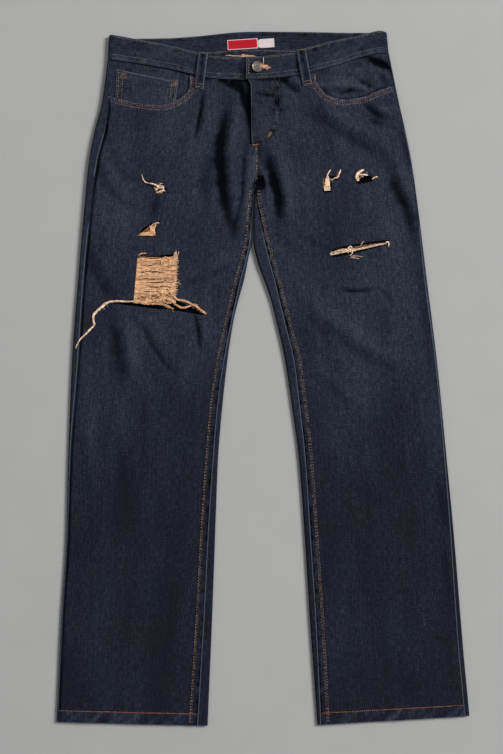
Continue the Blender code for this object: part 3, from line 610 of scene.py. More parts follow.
denimLook = {
    # hollowShade is painted shade: the colour of the deepest hollows
    "hollowShade": (0.0020, 0.0023, 0.0036),
    "deep": (0.0092, 0.0096, 0.0158),
    "base": (0.0172, 0.0206, 0.0333),
    "faded": (0.0356, 0.0438, 0.0628),
    "worn": (0.080, 0.094, 0.118),
    "warp": (560.0, 105.0, 1.0),
    "weft": (120.0, 620.0, 1.0),
    "speck": (480.0, 480.0, 1.0),
    "bands": (22.0, 3.0, 1.0),
    "broad": (11.0, 7.0, 1.0),
    "slub": (430.0, 13.0, 1.0),
    "warm": (26.0, 17.0, 1.0),
    "brown": (1.16, 1.02, 0.84),
    "twillPitch": 0.0011,
}


def denim(name, spots=(), wornEdge=1.3):
    # spots are soft patches painted into the colour, most of them painted shade in hollows: x, y, half width,
    # half height, depth
    look = denimLook
    dye = Dye(name, 0.86)
    weave = dye.uv("weave")
    edge = dye.node("SeparateXYZ", None, {0: dye.uv("wearAndShade")})  # millimetres from a finished edge
    reliefShade = edge.output(1)  # how far the cloth stands up or is hollowed, in millimetres: painted as shade in hollows and lighter on ridges
    place = dye.place()
    across = dye.node("SeparateXYZ", None, {0: weave})
    spotX = dye.node("SeparateXYZ", None, {0: place})
    spotY = spotX.output(1)

    warp, speck = dye.noise(weave, look["warp"], 2.0, 0.6), dye.noise(weave, look["speck"], 2.0, 0.6)
    grain = (warp - 0.5) * 1.8 + (dye.noise(weave, look["weft"], 2.0, 0.6) - 0.5) * 1.3 + (speck - 0.5) * 1.3
    grain = grain + (dye.noise(weave, look["slub"], 2.0) - 0.5) * 0.8
    bands = (dye.noise(weave, look["bands"], 2.0) - 0.5) * 0.8
    bands = bands + (dye.noise(place, look["broad"], 1.0) - 0.5) * 0.7
    diagonal = (across * 0.8 + across.output(1) * 0.6) * (1 / look["twillPitch"])
    twill = diagonal.maths("PINGPONG", diagonal, 0.5) * 2.0

    lowLeg = 1 - dye.step(spotY, -0.22, 0.12)
    # painted shade: each spot sinks the relief, so the colour darkens there
    for x, y, halfWidth, halfHeight, depth in spots:
        dx = (spotX - x * mm) * (1 / (halfWidth * mm))
        dy = (spotY - y * mm) * (1 / (halfHeight * mm))
        reliefShade = reliefShade - (1 - dye.step(dx * dx + dy * dy, 0.0, 1.0)) * depth
    # the relief makes the colour lighter on worn ridges and darker in hollows, where it is painted shade
    fade = grain + bands + twill * 0.1 + reliefShade * 0.095 + 0.46 - lowLeg * 0.45
    cloth = dye.blend(dye.step(fade, -0.15, 0.6), look["deep"], look["base"])
    cloth = dye.blend(dye.step(fade, 0.42, 1.25), cloth, look["faded"])
    tint = {0: dye.step(dye.noise(place, look["warm"], 2.0), 0.42, 0.68) * 0.45, 6: cloth, 7: look["brown"]}
    cloth = dye.node("Mix", {"data_type": "RGBA", "blend_type": "MULTIPLY"}, tint, output=2)
    # painted shade: the deepest hollows of the relief go nearly black
    cloth = dye.blend(dye.step(reliefShade, -0.8, -4.6) * 0.97, cloth, look["hollowShade"])
    ragged = dye.noise(weave, (260.0, 130.0, 1.0), 3.0)
    rim = (1 - dye.step(edge, 0.25, wornEdge)) * dye.step(ragged + speck * 0.4, 0.3, 0.68)
    dye.feed("Base Color", dye.blend(rim * 0.9, cloth, look["worn"]))
    dye.feed("Roughness", 0.8 + warp * 0.15)
    dye.bump(twill * 0.5 + warp + speck * 0.6, 0.00022, 0.8)
    return dye.material


def innerDenim(name, dark, light):  # the weft side, paler and browner
    dye = Dye(name, 0.9)
    weave = dye.uv("weave")
    slub = dye.noise(weave, (500.0, 120.0, 1.0), 3.0, 0.6)
    dye.feed("Base Color", dye.blend(dye.step(slub, 0.35, 0.7), dark, light))
    dye.bump(slub, 0.0002)
    return dye.material


def threadDye(name, dark, light, size):
    dye = Dye(name, 0.75, sheen=0.15)
    place = dye.place()
    patch = dye.noise(place, (size, size, size), 2.0)
    fine = dye.noise(place, (2600.0, 2600.0, 2600.0), 1.0)
    dye.feed("Base Color", dye.blend(dye.step(patch * 0.9 + fine * 0.15, 0.35, 0.72), dark, light))
    dye.bump(fine, 0.00015)
    return dye.material


def metalDye(name):
    dye = Dye(name, 0.42, metallic=0.85)
    place = dye.place()
    tarnish = dye.noise(place, (420.0, 420.0, 420.0), 3.0)
    worn = dye.step(tarnish, 0.38, 0.66)
    dye.feed("Base Color", dye.blend(worn, (0.06, 0.047, 0.04), (0.215, 0.175, 0.15)))
    dye.feed("Roughness", 0.55 - worn * 0.2)
    dye.bump(tarnish, 0.0002)
    return dye.material


def tapeDye(name, colour, edgeColour, rim):  # woven label tape with a plain border
    dye = Dye(name, 0.8, sheen=0.1)
    weave = dye.uv("weave")
    wearAndShade = dye.node("SeparateXYZ", None, {0: dye.uv("wearAndShade")})
    ribs = dye.noise(weave, (900.0, 2600.0, 1.0), 2.0)
    border = 1 - dye.step(wearAndShade, rim - 0.25, rim + 0.25)
    shade = dye.blend(dye.step(ribs, 0.3, 0.75), colour, [c * 1.25 for c in colour])
    dye.feed("Base Color", dye.blend(border, shade, edgeColour))
    dye.bump(ribs, 0.0001)
    return dye.material


print("dyes")
# painted shade: soft dark patches where the right front lies in shade
rightShadeSpots = (
    (-163, 250, 14, 42, 1.5), (-215, 20, 26, 90, 0.9), (-222, 130, 30, 30, 1.1), (-17, 240, 5, 26, 1.5),
)
# mostly painted shade, such as the crotch hollow, with a stain on the thigh and one paler patch
leftShadeAndStainSpots = (
    (158, 232, 18, 30, 1.3), (200, 270, 22, 50, 0.7), (60, 60, 26, 60, 0.6), (165, 0, 100, 180, -0.7),
    (-4, 298, 9, 9, 5.0), (-8, 287, 7, 15, 5.5), (0, 289, 5, 8, 3.0),
)
dyes = {
    "frontRight": denim("denim front right", rightShadeSpots),
    "frontLeft": denim("denim front left", leftShadeAndStainSpots),
    "back": denim("denim back", ((-150, 60, 70, 60, 0.6), (160, 60, 70, 60, 0.6)), 1.9),
    # the trim's spot is a painted shadow beside the band's overlapping end
    "trim": denim("denim trim", ((-32, 468, 8, 16, 2.5),), 1.6),
    "inner": innerDenim("denim weft side", (0.03, 0.034, 0.048), (0.13, 0.1, 0.085)),
    # painted shade: the back panels' inside, seen through the tears, is dyed nearly black
    "shaded": innerDenim("denim weft side painted as shade", (0.0012, 0.0012, 0.0016), (0.007, 0.006, 0.006)),
}
threads = {  # name, dark, light and patches in a metre
    "torn": ("torn denim edge", (0.05, 0.05, 0.065), (0.32, 0.26, 0.22), 260.0),
    "stitch": ("tan topstitch", (0.045, 0.034, 0.03), (0.3, 0.19, 0.13), 260.0),
    "dull": ("dull tan topstitch", (0.034, 0.03, 0.03), (0.19, 0.135, 0.105), 260.0),
    "orange": ("orange topstitch", (0.17, 0.055, 0.025), (0.42, 0.17, 0.075), 260.0),
    "rust": ("rust topstitch", (0.05, 0.024, 0.018), (0.2, 0.085, 0.055), 260.0),
    "grey": ("grey topstitch", (0.03, 0.034, 0.045), (0.125, 0.127, 0.14), 260.0),
    "dim": ("navy topstitch", (0.008, 0.008, 0.012), (0.055, 0.045, 0.042), 260.0),
    "weft": ("bare weft", (0.47, 0.25, 0.125), (0.74, 0.45, 0.26), 200.0),
    "ivory": ("washed weft", (0.44, 0.26, 0.15), (0.9, 0.74, 0.56), 300.0),
    "weftDeep": ("weft in shade", (0.09, 0.036, 0.016), (0.36, 0.18, 0.085), 240.0),
}
for key, row in threads.items():
    dyes[key] = threadDye(*row)
dyes["metal"] = metalDye("antique button metal")
dyes["red"] = tapeDye("red tape", (0.32, 0.009, 0.018), (0.62, 0.42, 0.42), 1.0)
dyes["white"] = tapeDye("white tape", (0.48, 0.415, 0.418), (0.48, 0.415, 0.418), 0.4)


frayed = np.random.default_rng(31)  # for torn edges and loose threads


def cutThrough(piece, holes, finish):  # takes outlines out of a piece; finish is for the cut walls
    bottom, height = -4 * mm, 30 * mm
    bm = bmesh.new()
    for spots in holes:
        ring = [bm.verts.new((x * mm, y * mm, bottom)) for x, y in spots]
        extrude(bm, [bm.faces.new(ring)], (0, 0, height))
    bmesh.ops.recalc_face_normals(bm, faces=bm.faces[:])
    mesh = meshOf(bm, "cut")
    mesh.materials.append(dyes[finish])
    cutter = bpy.data.objects.new("cut", mesh)
    scene.collection.objects.link(cutter)
    hole = piece.modifiers.new("cut", "BOOLEAN")
    hole.operation = "DIFFERENCE"
    hole.object = cutter
    applyModifiers(piece)
    bpy.data.objects.remove(cutter)


def ragged(spots, pitch=1.6, depth=0.55):  # a closed outline with a frayed, uneven edge
    spots = np.array(list(spots) + [spots[0]], float)
    line = evenRoute(spots, pitch)[:-1]
    return line + frayed.uniform(-depth, depth, line.shape)


tears = {
    "right": {
        "big": (
            (-188.5, 180.5), (-185, 184.5), (-160, 184), (-144, 186), (-128.5, 187), (-129.5, 150),
            (-131.5, 122), (-122, 114), (-108, 107.5), (-90, 97), (-88, 95.5), (-104, 97.5), (-130, 102),
            (-160, 105), (-192, 109), (-229, 113.6), (-192, 116.5), (-194.5, 118), (-191.5, 150),
        ),
        "high": (
            (-179, 296), (-171, 296), (-161, 293.5), (-150, 290), (-144.5, 284), (-148, 277.5), (-158, 277),
            (-163.5, 282), (-168, 289.5), (-176, 292),
        ),
        "low": (
            (-187, 216), (-179, 226), (-170, 232.5), (-158.5, 235), (-159.5, 222), (-161, 213.5), (-174, 213),
        ),
    },
    "left": {
        "knee": (
            (98, 186), (104, 194), (122, 198.5), (145, 202.5), (168, 206), (189, 208), (187, 201),
            (166, 196), (144, 189.5), (122, 184.5), (106, 182.4),
        ),
        "bar": (
            (89, 279.5), (90.5, 300), (98, 304), (110, 304), (115, 300), (105, 296), (102.5, 288), (102.5, 279),
        ),
        "loop": (
            (137.5, 297), (138.5, 306), (148, 309), (158, 305.5), (166, 300.5), (165, 296), (155, 293),
            (143, 291.5),
        ),
    },
}


def cuffExtra(y):  # what the turned-up cuff adds to the wall
    return (hems["cuffWall"] - garment["wall"]) * (1 - ease(16, 19, y - hem))


def frontPanel(side):
    way = inward[side]
    cell, edges = garment["cell"], np.array(garment["edgeCells"])
    y = waist - spread(waist - hem, cell, edges)[:, None]
    first = sideSeam[side](y) + way * garment["crevice"]
    last = np.where(y >= crotch, middleEdge[side](y), inseam[side](y) - way * garment["crevice"])
    middle = np.linspace(0, 1, int(garment["frontWidth"] / cell))[None, 1:-1]
    inset = way * edges[-1]
    middle = first + inset + (last - first - 2 * inset) * middle
    x = np.concatenate((first + way * edges, middle, last - way * edges[::-1]), axis=1)
    points = facePoints(side, x, y)
    points[..., 1] -= garment["tuck"] * ease(8, 0, waist - y)
    realY = points[..., 1]
    weave = stacked(x - first, realY)
    toMouth = routeDistance(pocketMouth[side], x, realY)
    toEdge = np.minimum(np.where(y >= crotch, np.abs(x - last), farInside), toMouth)
    toEdge = np.minimum(toEdge, (y - hem) + 0.3)
    # the relief paints creases, unevenness and hems as light and shade: lighter on ridges, darker in hollows
    # and stitch grooves
    reliefShade = creaseHeight(x, realY) + undulate(x, y) + 5.2 * hemHeight(side, x, y, realY)
    if side == "right":  # a painted shadow of the fly's edge
        reach = 3.0 + 5.0 * ease(375, 430, y)
        reliefShade = reliefShade - 6.0 * ease(reach, reach * 0.25, middleEdge["left"](y) - x) * ease(346, 356, y)
    # mottled light and shade painted along the felled inseam's puckers, the cuff and the top below the band
    fromSeam = np.abs(x - inseam[side](y))
    felled = ease(1, -1, fromSeam - inseamHem(y)) * ease(crotch, crotch - 12, y)
    mottle = (2.8 + 2.4 * ease(110, 190, y)) * lattice(y, fromSeam, (4.4, 6), 17)
    reliefShade = reliefShade + felled * (mottle + 1.2 * lattice(y, fromSeam, (11, 9), 18) - 2.9)
    reliefShade = reliefShade + ease(hem + 19, hem + 17.5, y) * (4.4 * lattice(x - 0.8 * y, y, (7, 13), 19) - 0.2)
    reliefShade = reliefShade + ease(waist - 13, waist - 3, y) * (2.2 * lattice(x, y, (7, 12), 20) - 0.9)
    if side == "left":  # the fly is darker, and its two rows of stitches draw it into dents, painted as light and shade
        toCurve = routeDistance(flyCurve, x, realY)
        fly = (x < flyReach(realY) + 0.5) * (realY > 351)
        dents = 6.0 * lattice(y + 0.4 * x, toCurve, (6.5, 9), 21) * ease(356, 368, realY)
        reliefShade = reliefShade - 2.1 * fly + ease(8.5, 6.5, toCurve) * fly * (dents + 0.4)
    # a painted shade line along the inseam's edge, and a paler roped line along the pocket's mouth
    reliefShade = reliefShade - 2.5 * ease(2.2, 0.6, np.abs(x - last)) * (y < crotch) + 3.0 * bell(toMouth, 2.2)
    wearAndShade = stacked(np.minimum(toEdge, farInside), reliefShade)
    cuff = cuffExtra(y) * ease(0, 4, np.abs(x - first)) * ease(0, 4, np.abs(x - last))
    dye = {"right": "frontRight", "left": "frontLeft"}[side]
    name, node, turned = f"denim_front_{side}", f"front_{side}", side == "left"
    piece = clothWall(name, node, points, garment["wall"] + cuff, (dye, "inner"), weave, wearAndShade, turned=turned)
    beyond = outline[side](waist) - way * 30
    mouth = list(map(tuple, pocketMouth[side]))
    mouth += [(beyond, mouth[-1][1]), (beyond, 530.0), (mouth[0][0], 530.0)]
    cutThrough(piece, [mouth], dye)
    cutThrough(piece, [ragged(spots) for spots in tears[side].values()], "torn")


underside = {"clear": 0.4, "stitchLine": 0.76, "tack": 0.47}  # room for the stitches above the ground


def backCrease(x, y):  # hollows in the underside, such as those behind the knees
    total = np.zeros(np.broadcast(x, y).shape)
    for x0, y0, x1, y1, width, height in backCreases:
        near, place, _, length = nearestPlace(((x0, y0), (x1, y1)), x, y)
        total += height * np.sqrt(np.sin(np.pi * np.clip(place / length, 0.04, 0.96))) * bell(near, width)
    return total


backCreases = (
    (-262, 22, -150, -8, 9, 1.5), (-226, -30, -96, -14, 8, 1.3), (-250, 70, -190, 40, 7, 1.0),
    (70, 4, 190, -26, 9, 1.5), (96, 34, 236, 40, 8, 1.2), (120, -52, 210, -60, 7, 0.9),
    (-236, 226, -140, 206, 9, 1.0), (-60, 240, -26, 150, 9, 1.1), (4, 226, 40, 130, 9, 1.1),
    (110, 208, 214, 226, 9, 1.0), (-200, -330, -120, -344, 8, 0.7), (130, -300, 250, -316, 8, 0.7),
)


def wrapSection(side, y):  # the back's section on one level: a dense (x, z) line and where its stretches end
    way = inward[side]
    low = bed(y)
    half = (pile(y) - low) / 2
    edge = outline[side](y)
    turn = np.linspace(0, math.pi / 2, 25)

    def topRun(seam, rim, toward):
        reach = abs(seam - rim)
        start = math.acos(1 - min(reach / half, 1.0))
        rolled = rim + toward * half * (1 - np.cos(np.linspace(start, 0, 25)))
        flat = np.linspace(seam, rim + toward * half, 9)[:-1] if reach > half else np.empty(0)
        xs = np.concatenate((flat, rolled))
        return np.column_stack((xs, frontHeight(side, xs, np.full(len(xs), float(y)))))

    outer = topRun(sideSeam[side](y) - way * garment["gap"] / 2, edge, way)
    under = np.column_stack((edge + way * half * (1 - np.cos(turn)), low + half * (1 - np.sin(turn))))
    outer = np.vstack((outer, under[1:]))
    wrapped = float(legsApart(y))
    if wrapped > 0:
        rim = innerOutline[side](y)
        bend = half * max(wrapped, 0.35)
        rise = np.column_stack((rim - way * bend * (1 - np.sin(turn)), low + half * (1 - np.cos(turn))))
        over = topRun(inseam[side](y) + way * garment["gap"] / 2, rim, -way)[::-1]
        inner = np.vstack(([[rim - way * (bend + 10), low]], rise, over[1:]))
        inner = inner[: max(int(len(inner) * wrapped), 4)]
    else:
        rim = garment["centreBack"] - way * garment["gap"] / 2
        inner = np.array([[rim - way * 12, low], [rim, low]])
    return outer, np.vstack((outer[-1:], inner[:1])), inner


wrapColumns = (14, 62, 14)


def backGrid(side, levels):  # a row of section points, as (x, z), for each level
    rows = []
    for y in levels:
        stretches = []
        for index, (line, count) in enumerate(zip(wrapSection(side, y), wrapColumns)):
            stops = np.linspace(0, distancesAlong(line)[-1], count + 1)
            stretches.append(resampled(line, stops[min(index, 1):]))  # a shared end is kept once
        rows.append(np.vstack(stretches))
    return np.array(rows)


def yokeLevel(x):
    return garment["yoke"] - garment["yokeDip"] * (1 - ease(20, 210, np.abs(x - garment["centreBack"])))


def backWall(kind, side, section, realLevel, seamRows):
    x, z = section[..., 0], section[..., 1]
    y = settle(side, "back", x, realLevel)
    over = np.arange(x.shape[1]) < wrapColumns[0] * 0.55  # the stretch that lies on the front face
    y = np.where(over[None, :], settle(side, "front", x, realLevel), y)
    low = bed(realLevel)
    level = np.clip(1 - (z - low) / 0.6, 0, 1)
    z = z + (backCrease(x, y) + underside["clear"] * (1 - ease(120, 200, realLevel))) * level
    points = stacked(x, y + seamRows[:, None], z)
    steps = np.hypot(np.diff(x, axis=1), np.diff(z, axis=1))
    lengths = np.concatenate((np.zeros((len(x), 1)), np.cumsum(steps, axis=1)), axis=1)
    toEdge = np.minimum(lengths, lengths[:, -1:] - lengths)
    toEdge = toEdge + 2 * ease(218, 250, y) * (y < crotch + 10) + 1.2 * ease(350, 400, y) * over
    toEdge = np.minimum(toEdge, (realLevel - hem) + 0.3)
    # the back's creases are painted darker, as shade
    wearAndShade = stacked(np.minimum(toEdge, farInside), undulate(x + 400, y) - 1.7 * backCrease(x, y) * level)
    weave = stacked(lengths + 350, y)
    wall = np.where(level > 0.5, garment["wall"] + cuffExtra(realLevel), garment["wall"])
    name, node, turned = f"denim_{kind}_{side}", f"{kind}_{side}", side == "right"
    clothWall(name, node, points, wall, ("back", "shaded"), weave, wearAndShade, turned=turned)


def backPanel(side):
    top = garment["yoke"]
    levels = top - spread(top - hem, garment["cell"] * 1.1, np.array(garment["edgeCells"]))
    section = backGrid(side, levels)
    realLevel = levels[:, None] + (yokeLevel(section[..., 0]) - top) * ease(330, top, levels)[:, None]
    seamRows = np.where(np.arange(len(levels)) == 0, -garment["gap"] / 2, 0.0)
    backWall("back", side, section, realLevel, seamRows)


def yokePanel(side):
    share = spread(1.0, 0.07, np.array((0.0, 0.015, 0.04)))
    levels = waist - share * (waist - garment["yoke"])
    section = backGrid(side, levels)
    realLevel = waist + (yokeLevel(section[..., 0]) - waist) * share[:, None]
    seamRows = np.where(share == 0, -garment["tuck"], np.where(share == 1, garment["gap"] / 2, 0.0))
    backWall("yoke", side, section, realLevel, seamRows)


button = {
    "x": -8.5,
    "y": 466.5,
    "radius": 8.6,
    "shank": 2.6,
    "cap": (  # share of the radius, height
        (0.0, 2.5), (0.3, 2.45), (0.5, 2.3), (0.56, 2.55), (0.62, 2.5), (0.7, 2.2), (0.78, 2.3), (0.88, 2.9),
        (0.96, 2.7), (1.0, 2.1), (1.0, 1.0), (0.9, 0.3),
    ),
    "tilt": 7.0,
    "eyelet": 3.4,
    "slit": 0.9,  # half of the buttonhole's width
    "slitEnd": 12.0,
}
band = {
    "cloth": 2.3,
    "bevel": 0.8,
    "rise": 0.6,
    "dip": 2.4,
    "lift": 0.7,
    "underEnd": 6.0,
    "overEnd": -25.0,
    "leanRight": 2.6,
    "leanLeft": -3.4,
    "stations": 3.0,
    "turnStations": 1.2,
    "endStations": (0.5, 1.2, 2.0),
    "rows": 14,
    "tall": 34.0,
    "topStitch": 2.6,
    "lowStitches": (2.2, 7.6),
}


def bandHeight(side, x):
    half = (pile(waist) + band["rise"] - garment["seatLift"]) / 2
    full = roll(np.abs(x - outline[side](waist)), half)
    return garment["seatLift"] + half * (1 + full) + flyStep(side, x, band["dip"], band["lift"])


def bandLean(x):
    right = band["leanRight"] * ease(180, -outline["right"](waist), -x)
    return right + band["leanLeft"] * ease(140, outline["left"](waist), x)


def bandSwell(share, x, seed):  # the band's padded face between its rows of stitches
    height = (bandTop["front"](x) - bandSeam["front"](x)) * share
    top = band["tall"] - height
    groove = sum(bell(height - row, 1.0) for row in band["lowStitches"])
    groove = groove + bell(top - band["topStitch"], 1.0)
    pucker = 0.5 * lattice(x, height, (5, 16), seed) * (ease(9, 3, height) + 0.6 * ease(25, 32, height))
    wave = 0.45 * lattice(x + height, height, (30, 24), seed + 1)
    wave = wave + 0.3 * lattice(x - height, height, (11, 13), seed + 2)
    return wave - 0.35 * groove + pucker


def bandFacePoints(side, x, share):  # points of the front band's face
    height = bandHeight(side, x) + bandSwell(share, x, 21)
    low, high = bandSeam["front"](x) + 0.4, bandTop["front"](x)
    return stacked(x + bandLean(x) * share, low + (high - low) * share, height)


def waistband():
    half = (pile(waist) + band["rise"] - garment["seatLift"]) / 2
    right, left = float(outline["right"](waist)), float(outline["left"](waist))
    turn = np.linspace(0, math.pi / 2, 25)
    lines, faces = [], []

    def frontLine(side, start, edge):
        way = inward[side]
        level = np.linspace(start, edge + way * half, 90)[:-1]
        xs = np.concatenate((level, edge + way * half * (1 - np.cos(turn[::-1]))))
        return stacked(xs, bandHeight(side, xs))

    def underTurn(side, edge):
        xs = edge + inward[side] * half * (1 - np.cos(turn))
        return stacked(xs, garment["seatLift"] + half * (1 - np.sin(turn)))

    start, turnRight = frontLine("right", band["underEnd"], right), underTurn("right", right)
    turnLeft, end = underTurn("left", left)[::-1], frontLine("left", band["overEnd"], left)[::-1]
    parts = [start, turnRight, np.vstack((turnRight[-1], turnLeft[0])), turnLeft, end]
    for index, line in enumerate(parts):
        length = distancesAlong(line)[-1]
        pitch = band["turnStations"] if index in (1, 3) else band["stations"]
        stops = np.linspace(0, length, max(int(length / pitch), 8) + 1)
        if index in (0, 4):  # finer towards the band's own end
            close = np.array(band["endStations"])
            stops = np.unique(np.concatenate((stops, close if index == 0 else length - close[::-1])))
        stops = stops[min(index, 1):]
        lines.append(resampled(line, stops))
        faces += [index in (0, 4)] * len(stops)
    line, faces = np.vstack(lines), np.array(faces)
    x, z = line.T
    share = (1 - spread(1.0, 1 / band["rows"], np.array((0.0, 0.02, 0.05, 0.09))))[:, None]
    low = np.where(faces, bandSeam["front"](x), bandSeam["back"](x)) + 0.4
    high = np.where(faces, bandTop["front"](x), bandTop["back"](x))
    sideway = np.gradient(line, axis=0)
    sideway /= np.linalg.norm(sideway, axis=1, keepdims=True)
    swell = np.where(faces, bandSwell(share, x, 21), 0.6 * bandSwell(share, x, 24) - 0.2)
    swell = swell + 0.35 * (1 - faces)
    normalX, normalZ = sideway[:, 1], -sideway[:, 0]
    swell = np.where(faces | (np.abs(normalZ) < 0.9), swell, np.minimum(swell, 0.0))
    across = x + bandLean(x) * share + normalX * swell
    points = stacked(across, low + (high - low) * share, z + normalZ * swell)
    lengths = distancesAlong(line)
    toEnd = np.minimum(lengths, lengths[-1] - lengths)
    height, toTop = (high - low) * share, (high - low) * (1 - share)
    # mottled rows on the band, a painted shadow line along its low seam, and its inside painted darker
    paler = ease(0.5, 2.5, height) * ease(10.5, 7.5, height) * (2.0 + 3.0 * lattice(x, height, (5, 9), 27))
    paler = paler - 2.0 * ease(2.0, 0.2, height) + 2.4 * ease(28, 31, height) * lattice(x, height, (5, 9), 28)
    paler = np.where(faces, paler + 1.2 * lattice(x, height, (17, 20), 29), paler - 1.2)
    toEdge = np.minimum(np.minimum(np.minimum(toTop, toEnd), height + 0.5), farInside)
    # the band's swell is painted lighter and its stitch grooves darker, as light and shade
    wearAndShade = stacked(toEdge + 0.15, swell * 3.4 + paler - 0.3)
    weave = stacked(height, lengths)
    name, wall, bevel = "denim_waistband", band["cloth"], band["bevel"]
    piece = clothWall(name, "waistband", points, wall, ("trim",), weave, wearAndShade, bevel, turned=True)
    x, y, radius = button["x"], button["y"], button["eyelet"]
    angles = np.pi * (0.18 + 1.64 * np.arange(13) / 12)
    hole = [(x + radius * math.cos(a), y + radius * math.sin(a)) for a in angles]
    hole += [(button["slitEnd"], y - button["slit"]), (button["slitEnd"], y + button["slit"])]
    cutThrough(piece, [hole], "torn")


facings = {  # how far below the front's face, inner end, foot and painted shade
    "right": (3.0, -98.0, 386.0, 0.2),
    "left": (1.9, 68.0, 392.0, -0.7),
}


def pocketFacing(side):
    depth, reach, foot, shade = facings[side]
    way = inward[side]
    y = waist - spread(waist - foot, 2.4, np.array((0.0, 0.6, 1.6)))[:, None]
    share = spread(1.0, 0.018, np.array((0.0, 0.006, 0.015)))[None, :]
    first = sideSeam[side](y) + way * 0.3
    x = first + (reach - first) * share
    realY = settle(side, "front", x, y)
    folds = 0.0
    if side == "left":  # a soft fold across the facing
        fold = routeDistance(((84, 440), (120, 441), (153, 437)), x, realY)
        folds = 0.9 * bell(fold, 3.2) - 0.45 * bell(fold - 5, 3) * (realY < 440)
    near = ease(0, 9, np.abs(x - first))
    folds = folds + 0.36 * lattice(x + 1.6 * y, y, (14, 9), 41) + 0.16 * lattice(x, y, (6, 7), 42)
    # a painted shadow under the pocket's mouth edge
    shade = shade - 3.0 * bell(routeDistance(pocketMouth[side], x, realY), 2.4)
    z = frontHeight(side, x, y) - depth + near * folds * 0.8
    points = stacked(x, realY - garment["tuck"] * ease(8, 0, waist - y), z)
    weave = stacked(x + 900, realY)
    # the relief paints the facing's creases and folds as light and shade
    wearAndShade = stacked(5.0, creaseHeight(x, realY) + undulate(x, y) + 4.0 * folds + shade)
    name, node, turned = f"denim_facing_{side}", f"pocket_facing_{side}", side == "left"
    clothWall(name, node, points, 1.0, ("trim", "inner"), weave, wearAndShade, 0, turned=turned)


def patchGrid(corners, across, down):  # a flat quad of spots: top left, top right, low right, low left
    corners = np.array(corners, float)
    u, v = np.linspace(0, 1, across + 1)[None, :, None], np.linspace(0, 1, down + 1)[:, None, None]
    high, low = corners[0] * (1 - u) + corners[1] * u, corners[3] * (1 - u) + corners[2] * u
    return high * (1 - v) + low * v, u[..., 0], v[..., 0]


coin = {
    "corners": ((-219, 463.5), (-127.5, 444.5), (-133, 404), (-222, 408)),
    "wide": 90.0,
    "tall": 46.0,
    "cloth": 1.1,
    "depth": 1.5,
    "sideRows": (3.0, 8.6),
    "tacks": ((-209.8, 453.6), (-133.2, 443.0)),
}


def coinPocket():
    spots, u, v = patchGrid(coin["corners"], 46, 26)
    x, realY = spots[..., 0], spots[..., 1]
    level = unsettle("right", "front", x, realY)
    base = frontHeight("right", x, level) - coin["depth"]
    fromSides, fromTop = np.broadcast_arrays(np.minimum(u, 1 - u) * coin["wide"], v * coin["tall"])
    raised = 0.35 * np.maximum(1 - ease(8, 10, fromSides), 1 - ease(8, 10, fromTop))
    sag = 0.5 * np.sin(np.pi * u) * (1 - ease(0, 14, fromTop)) + 0.3 * lattice(x, realY, (8, 9), 44)
    points = stacked(x, realY, base + raised + sag - 0.3)
    ropes = ease(10.5, 9, fromSides) * (2.4 * lattice(realY, fromSides, (4, 5), 45) + 0.5)
    dents = sum(bell(fromSides - row, 1.2) for row in coin["sideRows"])
    dents = dents - 0.9 * ease(18, 34, fromTop + 0.3 * x + 55)
    toEdge = np.minimum(np.minimum(fromSides, fromTop), farInside)
    # the relief paints raised and sagging cloth lighter, the stitch dents darker as shade, and lightens towards
    # its lower side
    wearAndShade = stacked(toEdge, 2.5 * sag + 2 * raised + ropes - 1.6 * dents)
    weave = stacked(x + 950, realY)
    clothWall("denim_coin_pocket", "coin_pocket", points, coin["cloth"], ("trim",), weave, wearAndShade)


loops = {
    "width": 14.0,
    "length": 53.0,
    "cloth": 1.6,
    "arch": 1.9,
    "hem": 5.4,  # from the middle to the folded rim's crown
    "front_right": ("right", -89.2, 488.5, -96.0, 434.5),
    "front_left": ("left", 56.5, 493.5, 66.4, 438.5),
    "back": {"back_right": -140.0, "back_middle": -13.0, "back_left": 114.0},
    "backLength": 50.0,
    "backCloth": 0.8,
}


def loopFrame(x0, y0, x1, y1, width):  # the corners of a straight strip
    length = math.dist((x0, y0), (x1, y1))
    dx, dy = (y1 - y0) / length * width / 2, (x0 - x1) / length * width / 2
    return (x0 + dx, y0 + dy), (x0 - dx, y0 - dy), (x1 - dx, y1 - dy), (x1 + dx, y1 + dy)


def loopHeight(side, x, realY):
    seam = bandSeam["front"](x)
    level = unsettle(side, "front", x, np.minimum(realY, seam))
    over = ease(-7, 1, realY - seam)
    return frontHeight(side, x, level) * (1 - over) + (bandHeight(side, x) + 0.35) * over


def loopArch(v):  # how far a front loop stands off the band, v down its length
    return loops["arch"] * np.sin(np.pi * np.clip((v - 0.04) / 0.86, 0, 1)) ** 1.2


def frontLoop(which):
    side, x0, y0, x1, y1 = loops[which]
    spots, u, v = patchGrid(loopFrame(x0, y0, x1, y1, loops["width"]), 12, 40)
    across, down = np.broadcast_arrays((u - 0.5) * loops["width"], v * loops["length"])
    crown = 0.6 * bell(np.abs(across) - loops["hem"], 1.6) - 0.4 * bell(across, 1.6)
    tuck = -0.9 * (1 - ease(0, 0.05, v)) + 0.9 * bell(v - 0.93, 0.035)
    z = loopHeight(side, spots[..., 0], spots[..., 1]) + garment["gap"] + loops["cloth"]
    z = z + loopArch(v) + crown + tuck + 0.12 * lattice(across, down, (4, 5), 51)
    points = stacked(*np.moveaxis(spots, -1, 0), z)
    fromEdge, fromEnd = loops["width"] / 2 - np.abs(across), np.minimum(v, 1 - v) * loops["length"]
    # painted light and shade of the rolled rims: lighter on the rims, darker in the middle
    wearAndShade = stacked(np.minimum(fromEdge, fromEnd), 5.2 * crown + 1.6 * lattice(across, down, (5, 5), 52) - 0.7)
    weave = stacked(across + 40, down)
    name, node = f"denim_loop_{which}", f"belt_loop_{which}"
    clothWall(name, node, points, loops["cloth"], ("trim",), weave, wearAndShade, 0.5)


